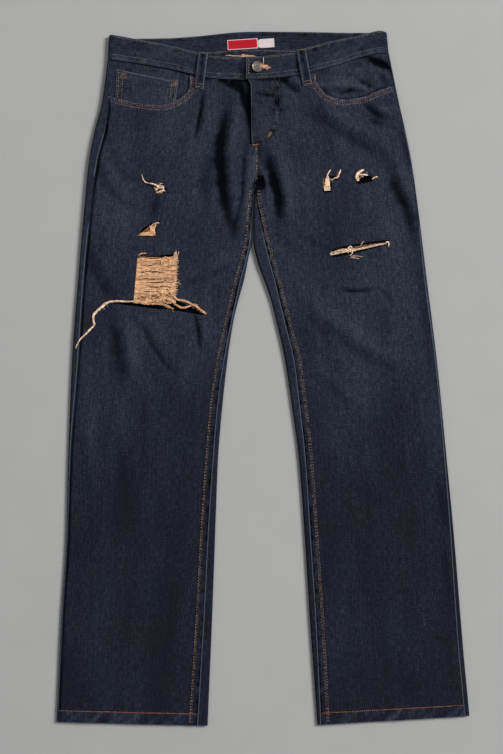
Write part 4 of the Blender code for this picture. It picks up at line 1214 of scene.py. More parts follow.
def backLoop(which, x):
    half = loops["backLength"] / 2
    y = float(bandTop["back"](x)) - half - 1
    spots, u, v = patchGrid(loopFrame(x, y + half, x, y - half, loops["width"]), 10, 30)
    across, down = np.broadcast_arrays((u - 0.5) * loops["width"], v * loops["backLength"])
    crown = 0.2 * bell(across, 1.2) + 0.1 * (lattice(across + x, down, (4, 5), 52) + 1)
    points = stacked(*np.moveaxis(spots, -1, 0), underside["clear"] + crown)
    wearAndShade = stacked(loops["width"] / 2 - np.abs(across), 0.2 - crown)
    weave = stacked(across + 80 + x, down)
    name, node = f"denim_loop_{which}", f"belt_loop_{which}"
    clothWall(name, node, points, loops["backCloth"], ("trim",), weave, wearAndShade, 0.3, turned=True)


backPockets = {"right": -108.0, "left": 82.0}
pocketShape = {
    "top": 402.0,
    "corner": 262.0,
    "point": 238.0,
    "topHalf": 76.0,
    "lowHalf": 70.0,
    "cloth": 0.7,
    "rows": (2.0, 8.0),
}


def backPocket(side):
    top, corner, point, topHalf, lowHalf, cloth, rows = pocketShape.values()
    u = (spread(2.0, 0.05, np.array((0.0, 0.008, 0.02, 0.045))) - 1)[None, :]
    v = spread(1.0, 0.025, np.array((0.0, 0.004, 0.01, 0.022)))[:, None]
    low = point + (corner - point) * np.abs(u)
    y = top + (low - top) * v
    halfWidth = topHalf + (lowHalf - topHalf) * np.minimum((top - y) / (top - corner), 1)
    x = backPockets[side] + u * halfWidth
    rim = np.minimum((1 - np.abs(u)) * halfWidth, np.minimum(top - y, y - low))
    rows = bell(rim - rows[0], 0.9) + bell(rim - rows[1], 0.9)
    z = 0.34 + 0.1 * rows + 0.05 * (lattice(x, y, (12, 14), 61) + 1) + 0.12 * ease(9, 16, rim)
    points = stacked(x, y, z)
    wearAndShade = stacked(np.minimum(rim, farInside), 0.5 - z)
    weave = stacked(x + 600, y)
    name, node = f"denim_back_pocket_{side}", f"back_pocket_{side}"
    clothWall(name, node, points, cloth, ("trim",), weave, wearAndShade, 0.25, turned=True)


def turnedButton():  # a domed cap with a rolled rim, a shank and the eyelet it stands in
    foot = float(bandHeight("right", 0.0)) + garment["gap"]
    brim = float(bandHeight("left", button["x"])) + garment["gap"]
    profile = [(button["radius"] * share, brim + above) for share, above in button["cap"]]
    profile += [(button["shank"], brim + 0.2), (button["shank"], foot), (0.0, foot)]
    bm = bmesh.new()
    verts = [bm.verts.new((r * mm, 0, z * mm)) for r, z in profile]
    edges = [bm.edges.new(pair) for pair in zip(verts, verts[1:])]
    bmesh.ops.spin(
        bm, geom=verts + edges, cent=(0, 0, 0), axis=(0, 0, 1), dvec=(0, 0, 0), angle=math.tau, steps=48,
        use_merge=True,
    )
    bmesh.ops.remove_doubles(bm, verts=bm.verts[:], dist=1e-6)
    bmesh.ops.recalc_face_normals(bm, faces=bm.faces[:])
    rims = [e for e in bm.edges if e.is_manifold and e.calc_face_angle() > math.radians(30)]
    bmesh.ops.bevel(
        bm, geom=rims, offset=0.12 * mm, offset_type="OFFSET", affect="EDGES", segments=2, profile=0.5,
        material=-1,
    )
    tilt = Matrix.Rotation(math.radians(button["tilt"]), 3, Vector((-1, 1, 0)))
    bmesh.ops.rotate(bm, verts=bm.verts[:], cent=(0, 0, brim * mm), matrix=tilt)
    bmesh.ops.translate(bm, verts=bm.verts[:], vec=(button["x"] * mm, button["y"] * mm, 0.0004))
    piece = finishMesh("shank_button", meshOf(bm, "shank_button"), ("metal",), 40)
    declare(piece, "waist_button")


labels = {
    "turn": 3.6,
    "thickness": 0.8,
    "waist_label": (-30.6, 501.9, 45.5, 15.0, "red", "label_red"),
    "size_tab": (4.7, 503.4, 24.4, 13.4, "white", "tab_white"),
}


def label(which):
    x, y, width, height, finish, slot = labels[which]
    turn = math.radians(labels["turn"])
    u, v = np.linspace(-0.5, 0.5, 25)[None, :], np.linspace(0.5, -0.5, 11)[:, None]
    pinch = 1 - 0.28 * bell(u + 0.5, 0.09) if which == "size_tab" else 1.0
    a, b = np.broadcast_arrays(u * width, v * height * pinch)
    base = garment["seatLift"] + 2.4 + garment["gap"] + labels["thickness"]
    buckle = 0.28 * lattice(a, b, (9, 8), 71) + 0.35 * bell(u - 0.46, 0.07)
    c, s = math.cos(turn), math.sin(turn)
    points = stacked(x + a * c - b * s, y + a * s + b * c, base + buckle)
    wearAndShade = stacked(np.minimum(width / 2 - np.abs(a), height / 2 - np.abs(b)), 0)
    name, wall = f"tape_{which}", labels["thickness"]
    clothWall(name, which, points, wall, (finish,), stacked(a, b), wearAndShade, 0.15)


for side in inward:
    frontPanel(side)
    print("front", side)
    backPanel(side)
    yokePanel(side)
    pocketFacing(side)
    backPocket(side)
    print("back, yoke and pockets", side)
coinPocket()
waistband()
for which in ("front_right", "front_left"):
    frontLoop(which)
for which, x in loops["back"].items():
    backLoop(which, x)
turnedButton()
label("waist_label")
label("size_tab")
print("waistband, loops, button and labels")


def yarns(name, strands, finish, node=None):  # strands are (points, radius or radii), joined into one mesh
    data = bpy.data.curves.new(name, "CURVE")
    data.dimensions = "3D"
    data.bevel_depth = mm
    data.bevel_resolution = 1
    data.use_fill_caps = True
    for points, radii in strands:
        spline = data.splines.new("POLY")
        spline.points.add(len(points) - 1)
        spline.points.foreach_set("co", np.insert(np.array(points) * mm, 3, 1.0, axis=1).ravel())
        spline.points.foreach_set("radius", np.broadcast_to(radii, len(points)).astype(np.float32))
    source = bpy.data.objects.new(name + "_line", data)
    scene.collection.objects.link(source)
    mesh = evaluatedMesh(source, name)
    bpy.data.objects.remove(source)
    mesh.materials.clear()
    declare(finishMesh(name, mesh, (finish,), 60), node)


def onFront(side, route, pitch=1.2):  # a route of x, y and height above the cloth, as a smooth line of points
    line = evenRoute(smoothRoute(route), pitch)
    points = faceAt(side, *line[:, :2].T)
    points[:, 2] += line[:, 2]
    return points


def plies(points, count, spreadOut, turnLength, radius, taper=0.35, loose=0.25):
    # a twisted bundle of yarns round a line, thinning towards its ends
    lengths = distancesAlong(points)
    way = np.gradient(points, axis=0)
    way /= np.maximum(np.linalg.norm(way, axis=1, keepdims=True), 1e-9)
    sideway = stacked(-way[:, 1], way[:, 0], 0.0)
    end = ease(0, 1, np.minimum(lengths, lengths[-1] - lengths) / (lengths[-1] * 0.22))
    strands = []
    for index in range(count):
        phase = math.tau * index / count + frayed.uniform(-0.3, 0.3)
        angle = phase + math.tau * lengths / turnLength + loose * lattice(lengths, 0, (9, 9), 80 + index)
        reach = spreadOut * (0.55 + 0.45 * end) * (1 + loose * lattice(lengths, 0, (7, 9), 90 + index))
        offset = sideway * (np.cos(angle) * reach)[:, None]
        offset[:, 2] += np.sin(angle) * reach * 0.6
        strands.append((points + offset, radius * (taper + (1 - taper) * end)))
    return strands


def hairs(side, route, count, length, radius, lift=0.3, lean=None):
    # short broken ends round a torn edge; lean is the way they mostly point
    line = evenRoute(np.array(list(route), float), 1.0)
    strands = []
    for _ in range(count):
        x, y = line[frayed.integers(len(line))]
        angle = frayed.uniform(0, math.tau) if lean is None else lean + frayed.normal(0, 0.45)
        reach = length * frayed.uniform(0.4, 1.2)
        bend = frayed.normal(0, 0.5)
        steps = np.linspace(0, 1, 5)
        xs = x + reach * steps * np.cos(angle + bend * steps)
        ys = y + reach * steps * np.sin(angle + bend * steps)
        points = faceAt(side, xs, ys)
        points[:, 2] += lift * (0.2 + np.sin(steps * math.pi) * frayed.uniform(0.3, 1.4))
        strands.append((points, radius * (1 - 0.6 * steps)))
    return strands


weft = {
    "rows": 60,
    "top": 183.0,
    "foot": 114.5,
    "left": ((183.0, -187.6), (114.5, -193.6)),
    "right": ((183.0, -129.0), (140.0, -130.5), (114.5, -131.5)),
    "radius": 0.72,
    "deepRows": 26,
    "deepRadius": 1.15,
    "slits": (  # from x, to x, y, half opening
        (-184, -152, 170.5, 1.0), (-187, -147, 160, 1.5), (-188, -143, 150, 1.3), (-172, -138, 144.5, 1.2),
        (-180, -136, 137, 1.6), (-186, -158, 130, 1.1), (-165, -134, 127, 1.0),
    ),
    "loops": (  # centre, half width, half height
        (-161, 122.5, 8.5, 3.8), (-180, 121.5, 6.0, 2.6), (-143, 116.5, 7.0, 3.2), (-138, 127, 5.5, 3.0),
    ),
    "strays": (  # loose ends across the patch
        ((-187, 184, 0.3), (-182, 187.5, 1.2), (-174, 188, 0.6)),
        ((-166, 118, 0.4), (-160, 132, 1.3), (-152, 128, 1.1), (-146, 118, 0.5)),
        ((-176, 126, 0.4), (-168, 121, 1.2), (-158, 124, 0.8), (-150, 136, 0.5)),
        ((-158, 160, 0.3), (-150, 166, 0.9), (-141, 164, 0.6)),
        ((-135, 140, 0.3), (-141, 130, 1.2), (-152, 124, 0.9), (-160, 117, 0.4)),
    ),
}


def weftPatch():
    leftEdge, rightEdge = smoothLine(*weft["left"]), smoothLine(*weft["right"])
    rows, strands, deep = weft["rows"], [], []
    for index in range(rows):
        y0 = weft["top"] + (weft["foot"] - weft["top"]) * index / (rows - 1)
        left, right = float(leftEdge(y0)) - 0.6, float(rightEdge(y0)) + 0.6
        x = np.linspace(left, right, 34)
        inside = ease(0, 8, np.minimum(x - left, right - x))
        bunch = 2.7 * lattice(x, y0, (30, 5.5), 101) + 1.0 * lattice(x, y0, (10, 4.5), 102)
        lower = ease(146, 120, y0) * ease(-168, -140, x)
        tilt = 3.6 * (x - left) / (right - left) - 3.6
        y = y0 + tilt * (1 - index / rows) + bunch * inside + 0.3 * frayed.normal()
        y = y - 4.0 * lower * (1 - index / rows)
        for low, high, slitY, opening in weft["slits"]:
            window = np.sqrt(np.sin(np.pi * np.clip((x - low) / (high - low), 0, 1)))
            away = y - slitY - 2.4 * lattice(x, slitY, (13, 5), 107)
            y = y + opening * window * np.sign(away) * np.exp(-np.abs(away) / 2.6)
        level = faceAt("right", x, y)
        z = level[:, 2] - 0.55 + inside * (0.35 * lattice(x, y0, (11, 3), 103) + 0.25 * frayed.normal())
        radius = weft["radius"] * frayed.uniform(0.75, 1.15)
        strands.append((stacked(x, y, z), radius * (1 + 0.1 * lattice(x, y, (6, 3), 104))))
    for index in range(weft["deepRows"]):  # a second, sunken layer that closes the gaps, in the weft-in-shade dye: painted shade between the threads
        y0 = weft["top"] - 1.5 + (weft["foot"] - weft["top"] + 3) * index / (weft["deepRows"] - 1)
        x = np.linspace(float(leftEdge(y0)) - 0.4, float(rightEdge(y0)) + 0.4, 26)
        y = y0 + 1.1 * lattice(x, y0, (16, 7), 105)
        z = faceAt("right", x, y)[:, 2] - 1.45 + 0.2 * lattice(x, y, (8, 4), 106)
        deep.append((stacked(x, y, z), weft["deepRadius"]))
    for x0, y0, wide, tall in weft["loops"]:
        turn = np.linspace(0.3, 6.2, 13)
        ring = stacked(x0 + wide * np.cos(turn), y0 + tall * np.sin(turn) - 0.18 * wide * np.cos(turn), 1.2)
        strands += plies(onFront("right", ring), 2, 0.5, 7, 0.5, 0.6)
        # strands in the weft-in-shade dye under each loop, painting its hole as shade
        for shift in (-0.5, 0.0, 0.5):
            across = [(x0 + s * wide * 0.75, y0 + shift * tall - 0.18 * s * wide, 0.75) for s in (-1, 0, 1)]
            deep.append((onFront("right", across), 0.85))
    turn = np.linspace(-0.6, 3.6, 12)
    slack = stacked(-146 + 6.5 * np.cos(turn), 173 + 9 * np.sin(turn), 0.5)
    strands += plies(onFront("right", slack), 2, 0.7, 9, 0.62)
    for spots in weft["strays"]:
        strands += plies(onFront("right", spots), 2, 0.5, 8, 0.5)
    for y0 in np.arange(182, 124, -2.6):  # cut ends standing along the inner edge
        x0 = float(rightEdge(y0))
        tip = (x0 + frayed.uniform(1.5, 4.0), y0 + frayed.uniform(-0.5, 4.0), frayed.uniform(0.3, 1.0))
        strands.append((onFront("right", ((x0 - 3.5, y0, 0.0), (x0 - 0.5, y0 + 0.6, 0.7), tip)), 0.42))
    for x0 in np.arange(-134, -127, 1.4):
        tip = (x0 + frayed.uniform(0, 2.5), 188 + frayed.uniform(0, 4), 0.6)
        strands.append((onFront("right", ((x0, 180, 0.2), (x0 + 0.5, 184, 0.9), tip)), 0.5))
    yarns("weft_underlayer", deep, "weftDeep")
    yarns("weft_threads", strands, "weft", "rip_weft")


def longYarn():
    route = (
        (-186, 116.5, 0.6), (-204, 115.6, 0.9), (-218, 116.2, 1.0), (-229, 115.4, 1.3), (-236, 112.6, 1.2),
        (-243, 106.5, 1.2), (-250, 100, 1.1), (-254.5, 93.5, 1.0), (-254, 87, 1.1), (-253, 81.5, 1.0),
        (-259, 74, 1.0), (-267, 66, 0.9), (-274, 59, 0.9), (-278, 52.5, 0.9), (-281, 45.5, 0.8),
    )
    line = onFront("right", route, 1.0)
    share = np.linspace(0, 1, len(line))
    strands = plies(line, 3, 0.85, 15, 0.75, 0.45)
    thick = line[(share > 0.3) & (share < 0.62)]
    strands += plies(thick, 3, 1.5, 22, 0.7, 0.4)
    strands += hairs("right", ((-232, 113), (-250, 100)), 10, 5, 0.22, 0.8)
    yarns("long_yarn", strands, "ivory", "rip_yarn")


def pulledBundle():
    upper = ((-144, 136, 0.4), (-136, 126, 1.0), (-128, 118.5, 1.4), (-117, 116.5, 1.3), (-106, 111.5, 1.4))
    lower = ((-150, 122, 0.4), (-138, 117, 1.2), (-130, 110.5, 1.4), (-120, 106.2, 1.3), (-106, 110, 1.5))
    tail = ((-110, 111, 1.2), (-103, 110.5, 1.5), (-95, 104, 1.3), (-85, 97, 0.9))
    foot = ((-190, 115, 0.3), (-172, 112.5, 0.9), (-156, 112.5, 1.0), (-142, 108, 1.1), (-134, 104.5, 0.6))
    strands = plies(onFront("right", upper), 3, 1.1, 13, 0.7, 0.6)
    strands += plies(onFront("right", lower), 3, 1.0, 12, 0.7, 0.6)
    strands += plies(onFront("right", tail), 4, 1.3, 14, 0.65, 0.35)
    strands += plies(onFront("right", foot), 3, 1.3, 17, 0.62, 0.4)
    strands += hairs("right", ((-108, 111), (-90, 100)), 14, 6, 0.3, 0.9)
    strands += hairs("right", ((-150, 113), (-134, 105)), 12, 6, 0.3, 0.9, -2.4)
    strands += hairs("right", ((-128, 148), (-127, 140)), 6, 5, 0.25, 0.8, 0.6)
    yarns("pulled_bundle", strands, "weft", "rip_bundle")


def kneeBundle():
    rope = (
        (101.8, 185.6, 0.9), (112, 188, 1.3), (124, 191, 1.4), (138, 193.4, 1.3), (152, 196.2, 1.1),
        (166, 199.2, 1.0), (176, 201.4, 0.9), (185.4, 202.8, 0.7),
    )
    strands = plies(onFront("left", rope), 4, 0.95, 17, 0.62, 0.5)
    thick = ((101, 186.4, 0.9), (110, 189.4, 1.5), (120, 191.6, 1.7), (130, 192.6, 1.4), (142, 193.8, 0.9))
    strands += plies(onFront("left", thick), 5, 2.1, 24, 0.66, 0.45)
    hook = ((183, 203.8, 0.8), (186.5, 205, 1.2), (188.5, 203, 1.1), (188, 197.6, 0.5))
    eye = (
        (127.5, 188, 0.8), (127.5, 194, 1.6), (130.5, 198.5, 1.8), (134, 194.5, 1.6), (133.5, 188, 1.1),
        (130, 184.5, 0.5),
    )
    strands += plies(onFront("left", hook), 3, 0.7, 8, 0.55, 0.5)
    strands += plies(onFront("left", eye), 2, 0.6, 9, 0.55, 0.5)
    for spots in (
        ((132, 183.5, 0.4), (141, 183.8, 0.9), (149, 182.5, 0.4)),
        ((131, 181.5, 0.3), (138, 180.8, 0.7), (144, 180, 0.3)),
        ((146, 199, 0.5), (149, 203.5, 1.0), (151, 206.5, 0.5)),
    ):
        strands.append((onFront("left", spots), 0.4))
    strands += hairs("left", ((100, 188), (186, 203)), 26, 4, 0.2, 0.9)
    yarns("knee_bundle_threads", strands, "ivory", "knee_bundle")


def fan(count, route, steps, radius):  # bits side by side, each a step from the last at every spot
    spots = [[(x + dx * k, y + dy * k, z) for (x, y, z), (dx, dy) in zip(route, steps)] for k in range(count)]
    return tuple((bit, 2, radius) for bit in spots)


tufts = {  # side, dye, and bits as a route, its number of yarns and their radius
    "tuft_high_right": ("right", "ivory", (
        (((-181.4, 305.6, 0.5), (-179.5, 299, 1.1), (-176.5, 294.5, 1.0), (-170, 292.7, 0.8)), 2, 0.5),
        (((-170, 293, 0.6), (-163, 291, 1.5), (-157, 287.5, 1.8), (-151, 285, 1.2)), 4, 0.7),
        (((-161.6, 283, 0.7), (-157, 285.5, 1.8), (-152, 286, 2.0), (-147.6, 287.4, 1.0)), 4, 0.65),
        (((-159.4, 278.8, 0.6), (-155, 280.5, 1.6), (-151, 282, 1.9), (-146.6, 281, 0.8)), 4, 0.65),
        ((
            (-160, 281, 0.8), (-156, 288, 2.0), (-150, 288.5, 1.8), (-149, 282.5, 1.4), (-154, 278.5, 0.9),
        ), 2, 0.6),
        (((-158, 288, 1.2), (-154, 291.5, 1.4), (-150, 292.5, 0.7)), 1, 0.5),
    )),
    "tuft_low_right": ("right", "weft", fan(
        6, ((-161.5, 214.5, 0.5), (-163, 222, 1.4), (-160, 232, 0.7)),
        ((-1.3, 0.3), (-1.1, 0), (-1.5, -0.9)), 0.66,
    ) + fan(
        4, ((-186.5, 214.8, 0.4), (-176, 215.2, 1.2), (-164, 214.8, 0.7)),
        ((0.8, 0.9), (0, 1.2), (0, 1.3)), 0.62,
    ) + (
        (((-170, 226, 0.7), (-165, 231, 1.4), (-158, 233.4, 1.2), (-154.5, 233, 0.6)), 2, 0.55),
        (((-172, 220, 0.7), (-168, 224, 1.5), (-170, 229.5, 0.7)), 2, 0.5),
    )),
    "tuft_bar_left": ("left", "ivory", fan(
        7, ((95, 303, 0.5), (93, 292, 1.4), (92, 281.5, 0.7)), ((0.5, 0), (1.0, 0), (1.4, 0)), 0.66,
    ) + (
        (((95, 299, 0.8), (96.5, 305.5, 1.6), (101.4, 313, 0.7)), 3, 0.55),
        (((105.6, 300, 0.6), (111, 301.3, 1.4), (114, 307, 1.6), (116.4, 313, 0.7)), 4, 0.7),
        (((98, 300, 0.6), (103, 298.5, 0.9), (107, 300, 0.6)), 1, 0.45),
    )),
    "tuft_loop_left": ("left", "ivory", (
        ((
            (151.6, 313, 0.7), (145, 310.5, 1.7), (140.6, 306.7, 2.0), (139.6, 301, 1.8), (142, 296, 0.9),
        ), 5, 0.8),
        (((149, 311, 0.9), (143.5, 307, 1.9), (141.8, 301, 1.7), (143.5, 296.5, 0.9)), 4, 0.7),
        (((143, 305, 0.9), (149, 305.6, 1.5), (157, 304.6, 0.7)), 3, 0.6),
        (((163.5, 299, 0.5), (168, 301.6, 1.1), (172, 302.5, 0.5)), 3, 0.55),
    )),
}


def tuft(node):
    side, finish, bits = tufts[node]
    strands = []
    for route, count, radius in bits:
        strands += plies(onFront(side, route, 0.9), count, radius * (0.9 if count > 1 else 0.0), 8, radius, 0.5)
    xs, ys = [s[0] for route, *_ in bits for s in route], [s[1] for route, *_ in bits for s in route]
    x, y = sum(xs) / len(xs), sum(ys) / len(ys)
    around = [(x - 5, y - 3), (x + 5, y + 3)]
    strands += hairs(side, around, 16, 4.5, 0.22, 1.0)
    yarns(f"{node}_threads", strands, finish, node)


brownEdges = (  # side, route and number of yarns, in the weft-in-shade dye along a tear's edge: painted shade on the tufts' shaded sides
    ("left", (
        (101, 189, 0.3), (116, 193.6, 0.6), (130, 196, 0.6), (149, 198.8, 0.5), (170, 202, 0.4),
        (181, 204, 0.3),
    ), 3),
    ("left", ((91, 300.5, 0.4), (90.2, 292, 0.8), (90.6, 284, 0.5)), 2),
    ("left", ((108.5, 300.5, 0.4), (110.5, 304, 0.8), (113.4, 311, 0.4)), 2),
    ("left", ((140.5, 309, 0.4), (138, 303.5, 0.8), (139, 296.5, 0.5)), 2),
    ("right", ((-180, 220, 0.2), (-174, 224, 0.4), (-168, 229.5, 0.2)), 3),
    ("right", ((-178, 218.5, 0.2), (-172, 221, 0.4), (-168, 226, 0.2)), 3),
    ("right", ((-160.5, 282, 0.3), (-158, 277.5, 0.6), (-150, 278, 0.3)), 2),
    ("right", ((-228, 117.3, 0.4), (-240, 111.6, 0.7), (-251, 101, 0.5)), 1),
)


def brownThreads():
    strands = []
    for side, route, count in brownEdges:
        strands += plies(onFront(side, route), count, 0.75 if count > 1 else 0.0, 9, 0.45, 0.5)
    yarns("brown_threads", strands, "weftDeep")


stitching = {
    "pitch": 3.9,
    "fill": 0.78,  # how much of the pitch a stitch takes
    "radius": 0.6,
    "sink": 0.1,
}


def stitchShape():
    bm = bmesh.new()
    bmesh.ops.create_uvsphere(bm, u_segments=6, v_segments=4, radius=1.0)
    bm.verts.ensure_lookup_table()
    spots = np.array([v.co for v in bm.verts])[:, [2, 0, 1]]  # its poles along X
    faces = [[v.index for v in face.verts] for face in bm.faces]
    bm.free()
    return spots, faces


stitchSpots, stitchFaces = stitchShape()


def stitchRow(line, normal=(0, 0, 1), pitch=None, radius=None):  # stitches along a 3-D line on the cloth
    line = evenRoute(line, pitch or stitching["pitch"])
    gap = (1 - stitching["fill"]) / 2
    steps = np.diff(line, axis=0)
    lift = np.array(normal, float) * ((radius or stitching["radius"]) - stitching["sink"]) * 0.5
    return line[:-1] + steps * gap + lift, line[1:] - steps * gap + lift, np.array(normal, float), radius


def barTack(centre, way, length, width, normal=(0, 0, 1), count=None):  # close stitches across a line
    centre, way, normal = np.array(centre, float), np.array(way, float), np.array(normal, float)
    way = way / np.linalg.norm(way)
    across = np.cross(normal, way)
    across /= np.linalg.norm(across)
    places = np.linspace(-0.5, 0.5, count or max(int(length / 0.75), 4))[:, None] * length
    lean = way * 0.25
    starts = centre + way * places + across * width / 2 + normal * 0.15
    ends = centre + way * places - across * width / 2 + lean + normal * 0.15
    return starts, ends, normal, 0.36


def stitches(name, rowsByDye):  # rows of stitches as one joined mesh, with a material for each dye
    spots, faces, marks = [], [], []
    base = 0
    finishes = [finish for finish, rows in rowsByDye.items() if rows]
    for mark, finish in enumerate(finishes):
        for starts, ends, normal, radius in rowsByDye[finish]:
            way = ends - starts
            half = np.linalg.norm(way, axis=1, keepdims=True) / 2 + 1e-6
            way = way / (2 * half)
            up = normal - way * (way @ normal)[:, None]
            up /= np.linalg.norm(up, axis=1, keepdims=True)
            sideway = np.cross(up, way)
            thick = radius or stitching["radius"]
            centre = (starts + ends) / 2
            shape = (
                centre[:, None] + way[:, None] * (stitchSpots[:, 0][:, None] * half[:, None])
                + sideway[:, None] * (stitchSpots[:, 1] * thick)[:, None]
                + up[:, None] * (stitchSpots[:, 2] * thick * 0.8)[:, None]
            )
            spots.append(shape.reshape(-1, 3))
            for index in range(len(centre)):
                faces += [[base + corner for corner in face] for face in stitchFaces]
                base += len(stitchSpots)
            marks += [mark] * (len(centre) * len(stitchFaces))
    mesh = bpy.data.meshes.new(name)
    mesh.from_pydata(np.vstack(spots) * mm, [], faces)
    mesh.polygons.foreach_set("material_index", marks)
    declare(finishMesh(name, mesh, finishes, 80))


def frontStitches(side):
    way = inward[side]
    face = lambda route: faceAt(side, *np.array(route).T)
    levels = np.linspace(283, -514, 400)
    felled = facePoints(side, inseam[side](levels) - way * (inseamHem(levels) - hems["felledRow"]), levels)
    mouth = pocketMouth[side]
    near, far = (offsetRoute(mouth, way * row) for row in hems["mouthRows"])
    end = abs(outline[side](430)) - {"right": 3.5, "left": 0.5}[side]  # the mouth's rows stop there
    keep = lambda line: [spot for spot in line if abs(spot[0]) < end and spot[1] < 452.5]
    share = np.linspace(0.006, 0.994, 120)
    cuffY = np.full(120, hem + hems["cuffRow"])
    cuffX = sideSeam[side](hem + 18) * (1 - share) + inseam[side](hem + 18) * share
    tan = [stitchRow(felled, pitch=4.4, radius=0.72), stitchRow(face(keep(near))), stitchRow(face(keep(far)))]
    orange = [stitchRow(facePoints(side, cuffX, cuffY), pitch=3.0)]
    middle = face(keep(offsetRoute(mouth, way * 5.0)))
    rust = [stitchRow(middle + (0, 0, 0.1), radius=0.7)]
    dim, dull = [], []
    for inset, finish in ((2.7, dull), (4.3, dim if side == "right" else dull)):
        beside = facePoints(side, inseam[side](levels) - way * (inseamHem(levels) - inset), levels)
        finish.append(stitchRow(beside, pitch=4.2 + 0.1 * inset, radius=0.6))
    if side == "left":
        dull.append(tan.pop(0))
    x, y = mouth[0]
    tan.append(barTack(faceAt(side, x - way * 0.5, y - 4)[()], (0, 1, 0), 8, 2.4))
    if side == "left":
        dim += [stitchRow(face(flyCurve[:-2])), stitchRow(face(offsetRoute(flyCurve, -hems["flyRow"])[:-4]))]
        rise = [(float(middleEdge["left"](v)) + 2.6, v) for v in np.linspace(349, 299, 20)]
        tan.append(stitchRow(face(rise), pitch=3.6, radius=1.0))
        dim.append(stitchRow(face([(a + 5.5, b) for a, b in rise])))
        orange.append(barTack(faceAt(side, -11.5, 350.5)[()], (1, 0.2, 0), 9, 2.4))
        dull.append(barTack(faceAt(side, 9, 365)[()], (0.9, 1, 0), 11, 7, count=15))
    stitches(f"stitching_front_{side}", dict(stitch=tan, orange=orange, dim=dim, rust=rust, dull=dull))


def backStitches(side):
    way, down = inward[side], (0, 0, -1)

    def under(x, y):
        x, y = np.broadcast_arrays(np.asarray(x, float), np.asarray(y, float))
        return stacked(x, y, bed(y) + backCrease(x, y))

    centre = garment["centreBack"]
    xs = centre - way * np.linspace(abs(outline[side](garment["yoke"]) - centre) - 10, 4, 90)
    real = settle(side, "back", xs, yokeLevel(xs))
    tan = [stitchRow(under(xs, real + 2.6), down), stitchRow(under(xs, real + 8.4), down)]
    share = np.linspace(0.05, 0.95, 100)
    cuffX = outline[side](hem + 18) * (1 - share) + innerOutline[side](hem + 18) * share
    cuff = under(cuffX, settle(side, "back", cuffX, hem + hems["cuffRow"]))
    orange = [stitchRow(cuff + (0, 0, underside["stitchLine"]), down)]
    if side == "left":
        ys = np.linspace(482, 290, 80)
        tan += [stitchRow(under(centre + 2.6, ys), down), stitchRow(under(centre + 8.2, ys), down)]
    x0, shape = backPockets[side], pocketShape
    pocket = []
    for inset in shape["rows"]:
        half, low, corner = shape["topHalf"] - inset, shape["lowHalf"] - inset, shape["corner"] + inset * 0.7
        rim = [(-half, shape["top"] - 1), (-low, corner), (0, shape["point"] + inset * 1.05)]
        pocket.append(rim + [(low, corner), (half, shape["top"] - 1)])
    pocket += [[(-74, shape["top"] - drop), (74, shape["top"] - drop)] for drop in (2.5, 12.0)]
    for line in pocket:
        line = [(x0 + a, b, underside["stitchLine"]) for a, b in line]
        tan.append(stitchRow(evenRoute(line, 1.5), down))
    for end in (-73.5, 73.5):
        tan.append(barTack((x0 + end, shape["top"] - 6, underside["tack"]), (0, 1, 0), 10, 2.4, down))
    stitches(f"stitching_back_{side}", dict(stitch=tan, orange=orange))


def bandAt(side, x, fromSeam):  # points of the front band's face, given their height above the seam
    tall = bandTop["front"](x) - bandSeam["front"](x)
    return bandFacePoints(side, x, np.clip(fromSeam / tall, 0, 1))


def bandStitches():
    tan, dim, grey, dull = [], [], [], []
    for side in inward:
        start = {"right": -31.0, "left": band["overEnd"] + 3.5}[side]
        end = outline[side](waist) + inward[side] * 6
        xs = np.linspace(start, end, 120)
        tall = bandTop["front"](xs) - bandSeam["front"](xs)
        dull.append(stitchRow(bandAt(side, xs, tall - band["topStitch"])))
        grey += [stitchRow(bandAt(side, xs, row), pitch=3.2, radius=0.6) for row in band["lowStitches"]]
    endY = np.linspace(3, 31, 12)
    tan.append(stitchRow(bandAt("left", np.full(12, band["overEnd"] + 3.5), endY)))
    xs = np.linspace(-222, 178, 200)
    inside, under, down = garment["seatLift"] + band["cloth"] + 0.05, garment["seatLift"] - 0.35, (0, 0, -1)
    seamY, topY = bandSeam["back"](xs), bandTop["back"](xs)
    tan.append(stitchRow(stacked(xs, seamY + 6.6, inside)))
    dim.append(stitchRow(stacked(xs, topY - band["topStitch"], inside)))
    tan.append(stitchRow(stacked(xs, topY - band["topStitch"], under), down))
    tan += [stitchRow(stacked(xs, seamY + 0.4 + row, under), down) for row in band["lowStitches"]]
    dim.append(barTack(bandAt("left", np.array(1.5), 5.0)[()], (1, 0, 0), 6, 1.5))
    stitches("stitching_waistband", dict(stitch=tan, dim=dim, grey=grey, dull=dull))


